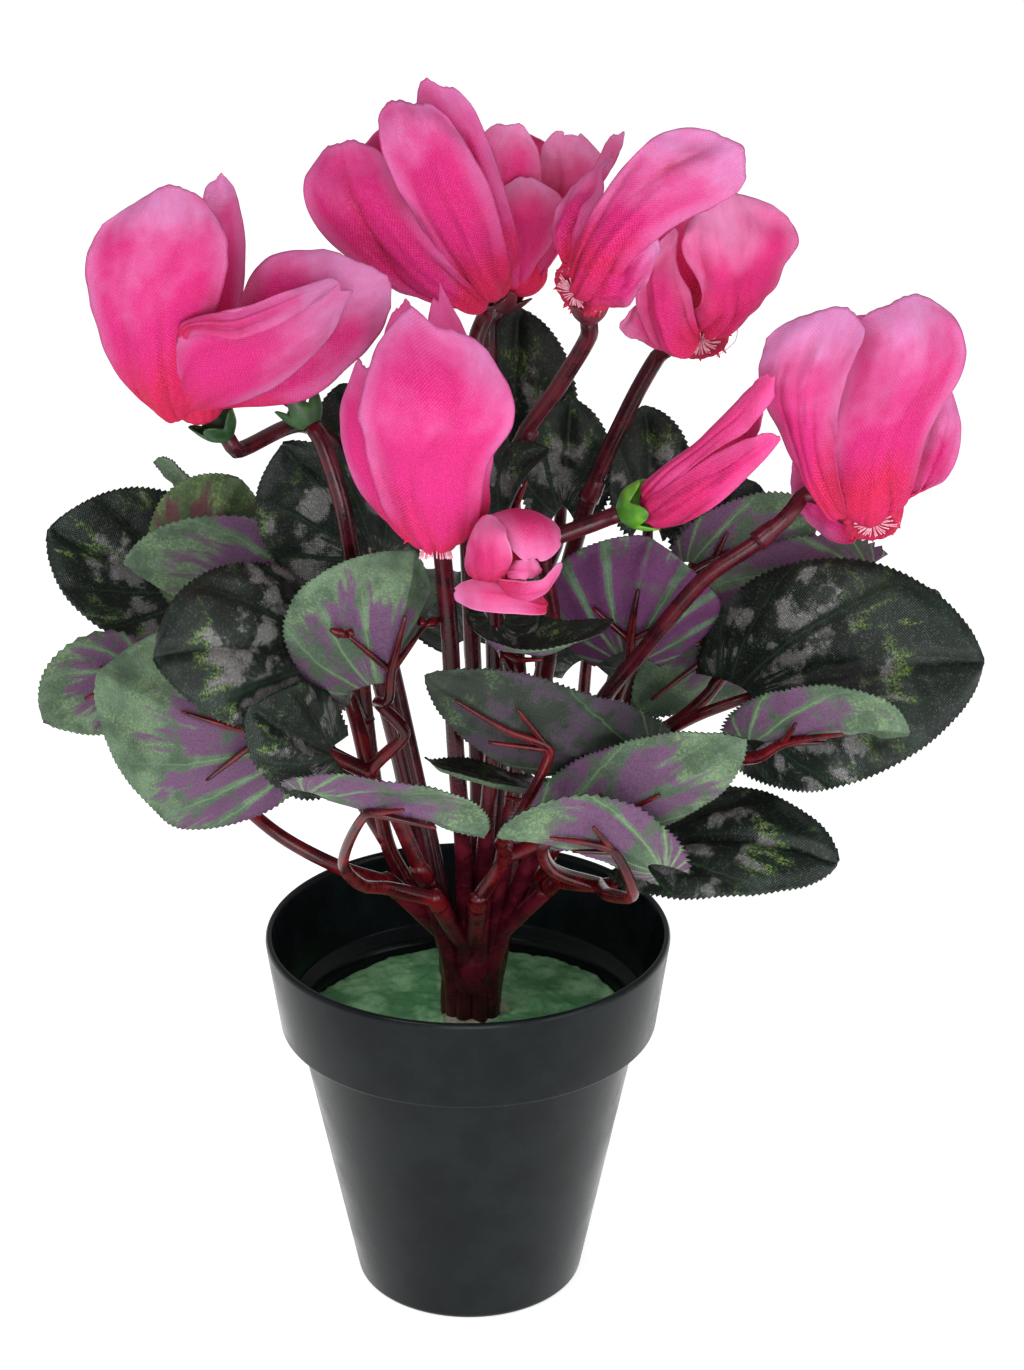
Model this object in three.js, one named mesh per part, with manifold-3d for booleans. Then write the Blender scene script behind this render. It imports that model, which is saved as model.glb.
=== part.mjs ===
// An artificial cyclamen in a plastic pot: a foam-filled pot, one moulded bush of flower stems,
// plugged-on leaf sprays, printed fabric leaves and fabric flowers.
// Millimetres, +Z up. The origin is the middle of the pot's underside, and the front looks along -Y.

import * as THREE from 'three';
import { mergeVertices } from 'three/addons/utils/BufferGeometryUtils.js';
import Module from 'manifold-3d';

const wasm = await Module();
wasm.setup();

// Pot
const POT_HEIGHT = 114;
const RIM_RADIUS = 60;
const BAND_HEIGHT = 29;
const BAND_FOOT_RADIUS = 56;
const BODY_TOP_RADIUS = 51;
const BASE_RADIUS = 34;
const POT_WALL = 2.3;
const POT_FLOOR = 2.5;
const LEDGE_HEIGHT = 2;
const EDGE_ROUND = 1.2;
const POT_SIDES = 30;

// Foam filler
const FOAM_TOP = 83;
const FOAM_SIDES = 28;
const SEAT_GAP = 0.35;

// Trunk, flower stems and leaf stalks
const TRUNK_X = 1;
const TRUNK_Y = 6;
const TRUNK_RADIUS = 8.4;
const TRUNK_FOOT = 58;
const TRUNK_FLARE_RADIUS = 10.8;
const TRUNK_FLARE_Z = 97;
const TRUNK_TOP = 113;
const TRUNK_SIDES = 12;
const STEM_RADIUS = 2.3;
const STEM_SIDES = 5;
const JOINT_RADIUS = 2.9;
const JOINT_LENGTH = 7;
const STALK_ROOT_RADIUS = 2.3;
const STALK_TIP_RADIUS = 1.3;
const STALK_SIDES = 4;
const STUB_RADIUS = 2.7;
const STUB_ROOT_Z = 101;
const RIB_SIDES = 3;
const RIB_TIP_RADIUS = 0.5;
const SIDE_RIB_RADIUS = 1;
const RIB_REACH = 0.42;
const SIDE_RIB_REACH = 0.22;
const SIDE_RIB_SPREAD = 0.45;
const SIDE_RIB_DROP = 0.4;
const MID_LEAF = 0.2;
const STALK_LEAD = 4;
const STALK_DIP = 2;

// Leaves and petals
const BLADE_THICKNESS = 0.8;
const BROAD_LEAF = 44;
const BROAD_PETAL = 20;
const BROAD_ROWS = 7;
const SLIM_ROWS = 6;
const BROAD_COLUMNS = 4;
const SLIM_COLUMNS = 2;
const PETAL_ROWS = [0, 0.16, 0.3, 0.5, 0.75, 1];
const PETAL_COLUMNS = 3;
const PETAL_INSET = 0.35;
const TIP_ROUND = 0.07;
const BOW_SETTLES = 2;
const SLOPE_STEP = 0.02;
const TOOTH = 0.05;
const LOBE_REACH = 0.2;
const LEAF_WAVE = 1.2;
const SECTION_STEPS = 12;

// Flower cores
const HUB_SIDES = 7;
const HUB_RINGS = 4;
const CUP_LENGTH = 5;
const CUP_OVERLAP = 1;
const CUP_FOOT_RADIUS = 3;
const SEPALS = 5;
const SEPAL_REACH = 7.5;
const NOTCH_RADIUS = 5;
const BUTTON_RADIUS = 3;
const BUTTON_HEIGHT = 1;
const THREADS = 5;
const THREAD_LENGTH = 4.5;
const THREAD_RADIUS = 0.7;
const THREAD_RING = 1.6;
const THREAD_LEAN = 0.7;

const MATERIALS = {
  pot: { color: 0x2b3133, roughness: 0.38, metalness: 0 },
  foam: { color: 0x5c9468, roughness: 0.9, metalness: 0 },
  stem: { color: 0x4f1622, roughness: 0.4, metalness: 0 },
  stalk: { color: 0x8e1824, roughness: 0.4, metalness: 0 },
  leaf: { color: 0x2f4a34, roughness: 0.6, metalness: 0 },
  petal: { color: 0xe93c8c, roughness: 0.8, metalness: 0 },
  calyx: { color: 0x5fa02a, roughness: 0.5, metalness: 0 },
  thread: { color: 0xf0dfe6, roughness: 0.7, metalness: 0 },
};

// Each leaf: sinus, middle and tip of its midrib, its full width, the way its upper side looks,
// how far its sides curl towards that side, how sharply it is creased at the midrib, and the
// share of the midrib where its stalk meets it.
const LEAVES = {
  leaf_01: { line: [[-85, 42, 207], [-104, 38, 216], [-122, 34, 228]], width: 50, face: [0.1, -0.8, 0.6] },
  leaf_02: { line: [[-79, 64, 206], [-85, 70, 221], [-95, 76, 234]], width: 34, face: [0.9, 0.3, 0.2] },
  leaf_03: { line: [[-70, 24, 208], [-72, 18, 230], [-65, 20, 248]], width: 46, face: [0.1, 1, -0.2] },
  leaf_04: { line: [[-44, 10, 216], [-69, 4, 224], [-98, 8, 226]], width: 42, face: [0, 0.9, 0.4] },
  leaf_05: {
    line: [[-50, -34, 192], [-75, -46, 203], [-102, -26, 208]], width: 78,
    face: [0, 0.9, -0.3], curl: 0.7,
  },
  leaf_06: {
    line: [[-41, -30, 214], [-62, -53, 226], [-83, -58, 225]], width: 47,
    face: [0.1, -0.8, 0.5], curl: -0.3,
  },
  leaf_07: {
    line: [[-22, -46, 213], [-17, -53, 234], [-13, -46, 251]], width: 61,
    face: [-0.5, 0.85, -0.1], curl: 0.3, crease: 0.5,
  },
  leaf_08: {
    line: [[-37, -46, 192], [-47, -59, 203], [-57, -66, 214]], width: 31,
    face: [0.1, -0.85, 0.5], curl: -0.3,
  },
  leaf_09: {
    line: [[-36, -80, 193], [-14, -87, 192], [6, -79, 182]], width: 31,
    face: [0, 0.63, 0.8], curl: 0.4, at: 0.25,
  },
  leaf_10: {
    line: [[46, -46, 189], [20, -64, 203], [-10, -68, 224]], width: 36,
    face: [0, 0.95, 0.25], curl: 0.5, at: 0.45,
  },
  leaf_11: { line: [[41, -22, 166], [14, -36, 175], [-11, -44, 189]], width: 26, face: [0.1, 0.2, 1] },
  leaf_12: {
    line: [[26, -55, 172], [51, -70, 190], [75, -76, 209]], width: 34,
    face: [-0.1, 1, 0.1], curl: 0.5,
  },
  leaf_13: {
    line: [[50, -70, 169], [30, -81, 183], [9, -84, 184]], width: 26,
    face: [0, 0.9, 0.4], curl: 0.5, at: 0.25,
  },
  leaf_14: {
    line: [[52, -39, 160], [77, -51, 167], [103, -55, 162]], width: 40,
    face: [0, -0.5, 0.9], curl: -0.4,
  },
  leaf_15: {
    line: [[80, -18, 197], [109, -34, 212], [144, -30, 212]], width: 64,
    face: [0, -0.85, 0.5], curl: -0.25,
  },
  leaf_16: { line: [[110, 10, 218], [79, 4, 206], [48, -3, 185]], width: 40, face: [-0.1, 1, -0.2], at: 0.5 },
  leaf_17: {
    line: [[83, -46, 195], [101, -60, 205], [120, -64, 206]], width: 32,
    face: [0, 0.8, 0.6], curl: 0.5,
  },
  leaf_18: { line: [[46, -12, 208], [48, -16, 227], [52, -10, 241]], width: 52, face: [0, 1, -0.3] },
  leaf_19: {
    line: [[9, -46, 228], [19, -58, 226], [40, -56, 235]], width: 26,
    face: [0.1, -0.1, 1], curl: 0.8,
  },
  leaf_20: { line: [[53, 31, 233], [53, 31, 250], [51, 35, 265]], width: 26, face: [0, -0.9, 0.5] },
  leaf_21: { line: [[69, 37, 219], [78, 39, 230], [85, 41, 239]], width: 31, face: [0.1, -0.8, 0.6] },
  leaf_22: { line: [[67, 19, 222], [84, 18, 231], [103, 19, 239]], width: 26, face: [0, 1, 0.1] },
  leaf_23: { line: [[13, 50, 243], [14, 47, 267], [15, 49, 290]], width: 40, face: [0, -0.9, 0.5] },
  leaf_24: { line: [[28, 36, 234], [29, 34, 252], [30, 36, 267]], width: 28, face: [0.1, -0.9, 0.5] },
  leaf_25: {
    line: [[11, -9, 244], [15, -12, 258], [23, -11, 268]], width: 26,
    face: [-0.5, -0.5, 0.7], crease: 0.5,
  },
  leaf_26: {
    line: [[-28, 6, 232], [-41, 0, 252], [-51, -6, 267]], width: 46,
    face: [-0.4, -0.8, 0.5], crease: 0.3,
  },
  leaf_27: { line: [[-31, 34, 246], [-33, 32, 260], [-36, 34, 272]], width: 28, face: [0.1, -0.9, 0.5] },
  leaf_28: { line: [[-97, 14, 187], [-110, 10, 185], [-124, 10, 177]], width: 34, face: [0, 1, 0] },
  leaf_29: { line: [[111, 30, 194], [125, 40, 199], [139, 48, 203]], width: 44, face: [0, -0.1, 1] },
  leaf_30: { line: [[35, 32, 187], [39, 30, 198], [48, 32, 206]], width: 40, face: [0, -0.8, 0.6] },
  leaf_31: { line: [[0, 60, 182], [-2, 85, 185], [-3, 108, 186]], width: 50, face: [0, 0.2, 1] },
};
const USUAL_LEAF = { curl: 0.35, crease: 0.15, at: 0.12 };

// Leaf sprays: the end of the trunk stub that carries each, and the stalks up to its leaves.
// The first stalk starts at the stub, and the others start on the stalk named in from.
const SPRAYS = {
  spray_left_low: {
    stub: [-20, -4, 128],
    stalks: [
      { route: [[-37, -14, 141], [-55, -14, 152], [-74, -4, 166], [-89, 8, 178]], leaf: 'leaf_28' },
      { route: [[-74, -4, 166], [-81, 28, 186]], leaf: 'leaf_01' },
    ],
  },
  spray_left: {
    stub: [-12, -16, 138],
    stalks: [
      { route: [[-20, -24, 162], [-27, -30, 178], [-17, -34, 192], [-24, -40, 204]], leaf: 'leaf_07' },
      { route: [[-27, -30, 178], [-38, -33, 186]], leaf: 'leaf_05' },
      { route: [[-27, -30, 178], [-33, -19, 196]], leaf: 'leaf_06' },
      { route: [[-27, -30, 178]], leaf: 'leaf_08' },
    ],
  },
  spray_front_left: {
    stub: [-8, -17, 130],
    stalks: [{ route: [[-22, -32, 143], [-29, -48, 152], [-33, -66, 168]], leaf: 'leaf_09' }],
  },
  spray_front: {
    stub: [3, -18, 130],
    stalks: [
      { route: [[11, -26, 150], [10, -46, 164], [14, -66, 180]], leaf: 'leaf_10' },
      { route: [[11, -26, 150], [30, -20, 156]], leaf: 'leaf_11' },
      { route: [[11, -26, 150], [14, -18, 172], [14, -30, 200], [12, -40, 216]], leaf: 'leaf_19' },
      { route: [[14, -18, 172], [15, -11, 200], [12, -10, 224]], leaf: 'leaf_25' },
    ],
  },
  spray_right_low: {
    stub: [23, -8, 131],
    stalks: [
      { route: [[38, -28, 142], [44, -36, 148]], leaf: 'leaf_14' },
      { route: [[38, -28, 142], [40, -52, 151], [46, -70, 160]], leaf: 'leaf_13' },
      { route: [[38, -28, 142], [24, -46, 156]], leaf: 'leaf_12' },
    ],
  },
  spray_right: {
    stub: [18, 2, 129],
    stalks: [
      { route: [[36, 0, 156], [56, -6, 179], [66, -12, 188]], leaf: 'leaf_15' },
      { route: [[56, -6, 179], [66, -30, 184]], leaf: 'leaf_17' },
      { route: [[56, -6, 179], [70, -4, 192]], leaf: 'leaf_16' },
      { route: [[36, 0, 156], [42, -4, 186]], leaf: 'leaf_18' },
      { route: [[36, 0, 156], [50, 10, 190], [60, 16, 210]], leaf: 'leaf_22' },
    ],
  },
  spray_back_right: {
    stub: [20, 20, 122],
    stalks: [
      { route: [[36, 36, 144], [44, 40, 180], [52, 38, 210]], leaf: 'leaf_20' },
      { route: [[36, 36, 144], [34, 40, 156]], leaf: 'leaf_30' },
      { route: [[44, 40, 180], [62, 30, 206]], leaf: 'leaf_21' },
      { route: [[36, 36, 144], [66, 40, 166], [93, 36, 182]], leaf: 'leaf_29' },
    ],
  },
  spray_back: {
    stub: [9, 24, 117],
    stalks: [
      { route: [[13, 44, 140], [15, 50, 190], [14, 54, 225]], leaf: 'leaf_23' },
      { route: [[15, 50, 190], [26, 40, 220]], leaf: 'leaf_24' },
      { route: [[13, 44, 140], [4, 54, 165]], leaf: 'leaf_31' },
    ],
  },
  spray_back_left: {
    stub: [-15, 6, 122],
    stalks: [
      { route: [[-24, 6, 140], [-29, 6, 178], [-30, 8, 210]], leaf: 'leaf_26' },
      { route: [[-29, 6, 178], [-38, 8, 202]], leaf: 'leaf_04' },
      { route: [[-24, 6, 140], [-46, 22, 170], [-64, 28, 192]], leaf: 'leaf_03' },
      { route: [[-46, 22, 170], [-44, 36, 205], [-34, 38, 230]], leaf: 'leaf_27' },
      { route: [[-46, 22, 170], [-64, 48, 184]], leaf: 'leaf_02' },
    ],
  },
};

// Flower heads: middle of the core and its radius, the way its throat looks, and its petals. Each
// petal runs between a left and a right edge, as seen from its outer side, from the core outwards.
const HEADS = {
  bloom_a: {
    core: [-72, -22, 286], throat: [-0.8, -0.1, 0.6], hub: 9,
    petals: [
      {
        left: [[-85, -26, 285], [-96, -36, 305], [-98, -42, 332], [-84, -36, 348]],
        right: [[-73, -30, 287], [-66, -42, 314], [-61, -42, 333], [-69, -36, 350]],
      },
      {
        left: [[-75, -16, 286], [-73, -12, 311], [-71, -14, 334], [-67, -16, 348]],
        right: [[-68, -14, 285], [-60, -6, 312], [-60, -10, 335], [-63, -16, 347]],
      },
      {
        left: [[-77, -30, 290], [-73, -46, 313], [-52, -48, 321], [-30, -42, 327]],
        right: [[-70, -28, 285], [-54, -40, 293], [-38, -42, 305], [-30, -40, 320]],
      },
      {
        left: [[-74, -46, 314], [-59, -49, 319], [-45, -48, 324], [-30, -42, 328]],
        right: [[-71, -50, 313], [-58, -54, 313], [-42, -52, 319], [-29, -44, 326]], bow: 0.1, rootBow: 0.1,
      },
      {
        left: [[-70, -20, 286], [-60, -26, 313], [-49, -28, 328], [-30, -30, 330]],
        right: [[-66, -22, 283], [-41, -32, 290], [-24, -36, 305], [-16, -34, 323]],
      },
      {
        left: [[-69, -14, 284], [-69, 0, 304], [-70, 4, 326], [-75, 4, 335]],
        right: [[-82, -14, 282], [-94, -2, 298], [-96, 2, 321], [-86, 2, 334]],
      },
    ],
  },
  bloom_b: {
    core: [6, 6, 312], throat: [0.3, -0.6, -0.7], hub: 9,
    petals: [
      {
        left: [[-1, 2, 306], [-22, -6, 314], [-42, -6, 333], [-39, 2, 351]],
        right: [[5, -6, 310], [-6, -12, 327], [-17, -10, 342], [-25, 0, 354]],
      },
      {
        left: [[0, -4, 309], [-10, -14, 328], [-20, -16, 349], [-24, -8, 366]],
        right: [[12, -4, 318], [9, -14, 335], [2, -16, 353], [-9, -8, 366]],
      },
      {
        left: [[7, 4, 314], [2, 0, 332], [-9, -2, 352], [-14, 2, 368]],
        right: [[15, 4, 318], [13, 0, 331], [7, -2, 352], [-1, 2, 366]],
      },
      {
        left: [[12, 14, 312], [8, 22, 327], [3, 24, 343], [-4, 20, 355]],
        right: [[0, 14, 306], [-18, 22, 320], [-31, 24, 335], [-32, 20, 344]],
      },
    ],
  },
  bloom_c: {
    core: [16, 42, 303], throat: [0, -0.4, -0.9], hub: 9,
    petals: [
      {
        left: [[11, 40, 300], [5, 34, 320], [3, 32, 338], [7, 36, 349]],
        right: [[18, 38, 302], [21, 30, 320], [21, 30, 336], [19, 34, 346]],
      },
      {
        left: [[16, 46, 301], [19, 46, 317], [20, 44, 332], [22, 44, 343]],
        right: [[23, 46, 303], [32, 46, 319], [39, 44, 331], [37, 44, 341]],
      },
      {
        left: [[19, 38, 304], [27, 32, 321], [36, 32, 336], [41, 36, 346]],
        right: [[24, 38, 307], [34, 32, 325], [41, 32, 336], [46, 36, 346]],
      },
      {
        left: [[10, 36, 302], [8, 28, 316], [7, 24, 327], [13, 26, 335]],
        right: [[19, 36, 305], [26, 26, 320], [28, 24, 328], [19, 26, 335]],
      },
      {
        left: [[22, 50, 303], [27, 58, 316], [27, 58, 330], [23, 54, 337]],
        right: [[11, 50, 299], [10, 58, 315], [9, 58, 331], [12, 54, 339]],
      },
    ],
  },
  bloom_d: {
    core: [34, -12, 316], throat: [-0.7, -0.6, -0.4], hub: 9,
    petals: [
      {
        left: [[29, -18, 323], [35, -24, 340], [47, -24, 356], [62, -20, 362]],
        right: [[37, -20, 312], [47, -30, 329], [62, -28, 339], [81, -22, 347]],
      },
      {
        left: [[27, -10, 322], [24, -6, 329], [29, -2, 338], [38, 2, 346]],
        right: [[31, -16, 322], [34, -16, 334], [38, -12, 341], [41, -4, 348]],
      },
      {
        left: [[35, -20, 322], [42, -27, 328], [48, -29, 332], [53, -27, 334]],
        right: [[35, -18, 312], [43, -22, 311], [47, -25, 318], [52, -25, 327]],
      },
      {
        left: [[39, -4, 312], [51, 6, 324], [65, 10, 335], [72, 8, 347]],
        right: [[30, -4, 319], [38, 6, 333], [49, 10, 343], [59, 8, 351]],
      },
    ],
  },
  bloom_e: {
    core: [65, 12, 296], throat: [0.1, -0.8, -0.6], hub: 9,
    petals: [
      {
        left: [[63, 2, 301], [64, -4, 311], [59, -6, 324], [62, -2, 332]],
        right: [[76, 8, 297], [85, 4, 309], [90, 4, 324], [81, 8, 336]],
      },
      {
        left: [[55, 8, 290], [48, 4, 302], [48, 4, 313], [52, 8, 322]],
        right: [[64, 0, 300], [62, 0, 309], [58, 4, 317], [59, 8, 326]],
      },
      {
        left: [[74, 18, 296], [84, 30, 307], [81, 32, 322], [72, 28, 330]],
        right: [[57, 18, 293], [51, 26, 305], [52, 30, 318], [58, 28, 327]],
      },
      {
        left: [[60, 10, 288], [53, 10, 290], [48, 10, 292], [43, 12, 294]],
        right: [[58, 10, 297], [53, 10, 299], [49, 10, 302], [46, 12, 302]], rootBow: 0.3,
      },
    ],
  },
  bloom_f: {
    core: [111, -28, 257], throat: [0, -0.83, -0.55], hub: 9,
    petals: [
      {
        left: [[96, -34, 260], [87, -38, 278], [78, -44, 301], [85, -38, 319]],
        right: [[103, -38, 260], [98, -50, 284], [101, -52, 302], [109, -42, 316]],
      },
      {
        left: [[100, -34, 260], [97, -41, 281], [101, -41, 300], [105, -34, 316]],
        right: [[120, -32, 260], [126, -36, 282], [133, -36, 304], [126, -32, 318]],
      },
      {
        left: [[121, -24, 257], [124, -20, 268], [127, -18, 278], [129, -18, 288]],
        right: [[127, -22, 260], [133, -18, 263], [136, -16, 275], [133, -16, 288]], rootBow: 0.3,
      },
      {
        left: [[107, -22, 244], [99, -16, 244], [93, -12, 249], [89, -10, 258]],
        right: [[107, -20, 255], [100, -14, 257], [94, -10, 261], [91, -8, 266]], rootBow: 0.3,
      },
      {
        left: [[121, -16, 255], [129, -8, 272], [132, -6, 292], [126, -8, 302]],
        right: [[104, -16, 255], [94, -8, 275], [94, -6, 292], [102, -8, 303]],
      },
    ],
  },
  bloom_g: {
    core: [-7, -62, 266], throat: [0, -0.35, -0.94], hub: 9,
    petals: [
      {
        left: [[-17, -66, 264], [-23, -80, 288], [-25, -86, 309], [-16, -78, 329]],
        right: [[3, -66, 264], [7, -80, 287], [14, -86, 305], [1, -78, 327]],
      },
      {
        left: [[-18, -60, 263], [-28, -64, 277], [-32, -64, 294], [-27, -60, 308]],
        right: [[-10, -64, 263], [-16, -72, 282], [-20, -74, 297], [-22, -66, 315]],
      },
      {
        left: [[-3, -64, 263], [0, -66, 278], [2, -66, 292], [3, -62, 306]],
        right: [[6, -58, 265], [7, -62, 277], [8, -62, 288], [8, -60, 301]],
      },
      {
        left: [[-8, -54, 262], [-8, -44, 282], [-9, -42, 303], [-14, -42, 324]],
        right: [[-17, -56, 263], [-23, -46, 282], [-22, -42, 303], [-17, -42, 325]],
      },
      {
        left: [[2, -54, 263], [4, -44, 282], [4, -42, 300], [-5, -42, 324]],
        right: [[-6, -54, 262], [-8, -42, 281], [-10, -40, 300], [-8, -42, 325]],
      },
    ],
  },
  bud_h: {
    core: [12, -66, 255], throat: [0.3, -0.9, 0.1], hub: 8,
    petals: [
      {
        left: [[3, -68, 252], [1, -72, 258], [2, -74, 265], [5, -72, 270]],
        right: [[11, -72, 253], [13, -84, 263], [12, -86, 270], [10, -80, 272]], rootBow: 0.4,
      },
      {
        left: [[18, -60, 258], [23, -66, 267], [26, -76, 266], [25, -79, 262]],
        right: [[7, -61, 258], [7, -67, 268], [10, -80, 270], [13, -84, 263]], rootBow: 0.2,
      },
      {
        left: [[9, -73, 254], [15, -80, 255], [21, -82, 257], [25, -79, 261]],
        right: [[11, -72, 250], [16, -77, 249], [22, -77, 251], [26, -74, 258]], rootBow: 0.3,
      },
      {
        left: [[22, -68, 242], [13, -76, 245], [5, -75, 245], [-3, -69, 246]],
        right: [[21, -68, 246], [14, -71, 250], [5, -71, 253], [-3, -68, 249]], rootBow: 0.3,
      },
      {
        left: [[12, -73, 257], [14, -80, 261], [17, -81, 262], [20, -78, 260]],
        right: [[12, -72, 253], [14, -80, 256], [17, -80, 256], [20, -77, 256]], rootBow: 0.2,
      },
    ],
  },
  bud_i: {
    core: [52, -24, 257], throat: [0.8, -0.2, 0.6], hub: 5,
    petals: [
      {
        left: [[49, -26, 263], [61, -36, 277], [72, -46, 293], [80, -54, 305]],
        right: [[53, -30, 260], [64, -42, 275], [76, -52, 288], [84, -56, 303]],
      },
      {
        left: [[51, -30, 261], [63, -42, 274], [75, -50, 284], [82, -54, 288]],
        right: [[55, -27, 250], [65, -38, 259], [76, -48, 273], [84, -53, 284]],
      },
      {
        left: [[55, -20, 250], [66, -28, 260], [75, -38, 275], [81, -50, 294]],
        right: [[50, -20, 260], [61, -26, 271], [73, -36, 287], [79, -48, 300]],
      },
    ],
  },
  bud_j: {
    core: [-47, -12, 284], throat: [0.1, 0.2, 1], hub: 5,
    petals: [
      {
        left: [[-49, -14, 286], [-47, -16, 297], [-43, -16, 307], [-39, -14, 311]],
        right: [[-44, -14, 285], [-39, -16, 297], [-36, -16, 306], [-34, -14, 311]],
      },
      {
        left: [[-44, -9, 284], [-40, -4, 293], [-37, -5, 303], [-35, -8, 309]],
        right: [[-50, -9, 285], [-47, -4, 293], [-44, -5, 303], [-39, -8, 309]],
      },
    ],
  },
};
const USUAL_PETAL = { bow: 0.3, rootBow: 0.8 };

// Routes of the flower stems, from inside the trunk to near the flower's core. The last point
// gives the side of the core that the calyx and the stem's end sit on.
const STEMS = {
  bloom_a: [[-5, 5, 102], [-9, 5, 128], [-15, 8, 159], [-24, 18, 199], [-33, 26, 233], [-38, 22, 257],
    [-47, 6, 269], [-64, -18, 272]],
  bloom_b: [[1, 11, 102], [3, 11, 151], [1, 11, 215], [0, 14, 259], [3, 18, 290], [6, 14, 303]],
  bloom_c: [[4, 14, 102], [7, 23, 146], [9, 32, 206], [7, 40, 259], [8, 42, 290]],
  bloom_d: [[5, 9, 102], [9, 8, 152], [11, 6, 216], [15, 2, 263], [26, -2, 283], [34, -6, 298]],
  bloom_e: [[9, 10, 102], [15, 16, 149], [24, 22, 197], [35, 24, 240], [46, 22, 268], [54, 21, 284]],
  bloom_f: [[7, 2, 102], [21, -6, 146], [38, -18, 194], [49, -24, 212], [66, -28, 236], [80, -29, 247],
    [88, -28, 254], [95, -25, 259]],
  bloom_g: [[-1, 0, 102], [-1, -12, 142], [-3, -26, 186], [-4, -38, 222], [-5, -48, 246]],
  bud_h: [[3, 0, 102], [5, -12, 143], [8, -24, 189], [8, -31, 222], [7, -41, 243], [7, -50, 250]],
  bud_i: [[6, 2, 102], [11, -4, 142], [20, -12, 187], [24, -20, 220], [22, -24, 244], [38, -22, 251]],
  bud_j: [[-5, 1, 102], [-12, -6, 133], [-19, -14, 175], [-26, -20, 211], [-31, -22, 239],
    [-34, -22, 257], [-40, -18, 274]],
};
const JOINTED = ['bloom_d', 'bloom_e', 'bloom_f'];
const OWN_CALYX = ['bloom_a', 'bud_i', 'bud_j'];
const SHOWN_THREADS = ['bloom_d', 'bloom_e', 'bloom_f', 'bloom_g'];

function vec(list) {
  return new THREE.Vector3(...list);
}

// A closed mesh as a solid that can be joined and cut.
function solidOf(geometry) {
  const bare = new THREE.BufferGeometry();
  bare.setAttribute('position', geometry.getAttribute('position').clone());
  if (geometry.index) bare.setIndex(geometry.index.clone());
  const merged = mergeVertices(bare, 1e-4);
  const corners = merged.index.array;
  const triangles = [];
  for (let i = 0; i < corners.length; i += 3) {
    const [a, b, c] = [corners[i], corners[i + 1], corners[i + 2]];
    if (a !== b && b !== c && a !== c) triangles.push(a, b, c);
  }
  return new wasm.Manifold(new wasm.Mesh({
    numProp: 3,
    vertProperties: new Float32Array(merged.getAttribute('position').array),
    triVerts: new Uint32Array(triangles),
  }));
}

function geometryOf(solid) {
  const mesh = solid.getMesh();
  const geometry = new THREE.BufferGeometry();
  geometry.setAttribute('position', new THREE.BufferAttribute(new Float32Array(mesh.vertProperties), 3));
  geometry.setIndex(new THREE.BufferAttribute(new Uint32Array(mesh.triVerts), 1));
  geometry.computeVertexNormals();
  return geometry;
}

function joined(geometries) {
  let whole = solidOf(geometries[0]);
  for (const geometry of geometries.slice(1)) whole = whole.add(solidOf(geometry));
  return geometryOf(whole);
}

// A round rod that runs through the given points, with a radius for each of them.
function rod(points, radii, sides) {
  const last = points.length - 1;
  const geometry = new THREE.CylinderGeometry(1, 1, 1, sides, last);
  const normals = [];
  const binormals = [];
  points.forEach((point, step) => {
    const tangent = points[Math.min(step + 1, last)].clone().sub(points[Math.max(step - 1, 0)]).normalize();
    const before = step > 0 ? normals[step - 1] : new THREE.Vector3(0, 1, 0).cross(tangent);
    normals.push(before.clone().addScaledVector(tangent, -before.dot(tangent)).normalize());
    binormals.push(tangent.clone().cross(normals[step]));
  });
  const position = geometry.getAttribute('position');
  for (let i = 0; i < position.count; i += 1) {
    const step = Math.round((position.getY(i) + 0.5) * last);
    const place = points[step].clone()
      .addScaledVector(normals[step], radii[step] * position.getX(i))
      .addScaledVector(binormals[step], -radii[step] * position.getZ(i));
    position.setXYZ(i, place.x, place.y, place.z);
  }
  return geometry;
}

// Half width of a leaf, as a share of its greatest half width, along its midline.
function leafShare(t) {
  const widest = 0.36;
  if (t < widest) return 0.5 + 0.5 * Math.sin((Math.PI / 2) * (Math.max(t, 0) / widest)) ** 0.8;
  const rest = (t - widest) / (1 - widest);
  return Math.max((1 - rest ** 1.9) ** 0.8, 0.1);
}

// The midline is a parabola through root, middle and tip. Gives its point and its own three axes.
function midline(spec, t) {
  const [root, middle, tip] = spec.line.map(vec);
  const pull = middle.clone().multiplyScalar(2).sub(root.clone().add(tip).multiplyScalar(0.5));
  const place = root.clone().multiplyScalar((1 - t) ** 2)
    .addScaledVector(pull, 2 * t * (1 - t))
    .addScaledVector(tip, t * t);
  const along = pull.clone().sub(root).multiplyScalar(1 - t)
    .addScaledVector(tip.clone().sub(pull), t)
    .normalize();
  const face = vec(spec.face);
  const up = face.addScaledVector(along, -face.dot(along)).normalize();
  return { place, along, up, side: along.clone().cross(up) };
}

// Cross-section of a leaf: walks out from the midline, turning as it curls.
function section(spec, reach) {
  const half = Math.abs(reach);
  let across = 0;
  let lift = 0;
  for (let i = 0; i < SECTION_STEPS; i += 1) {
    const out = (half * (i + 0.5)) / SECTION_STEPS;
    const turn = spec.crease + spec.curl * out;
    across += (Math.cos(turn) * half) / SECTION_STEPS;
    lift += (Math.sin(turn) * half) / SECTION_STEPS;
  }
  return { across: Math.sign(reach) * across * spec.width / 2, lift: lift * spec.width / 2 };
}

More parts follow.
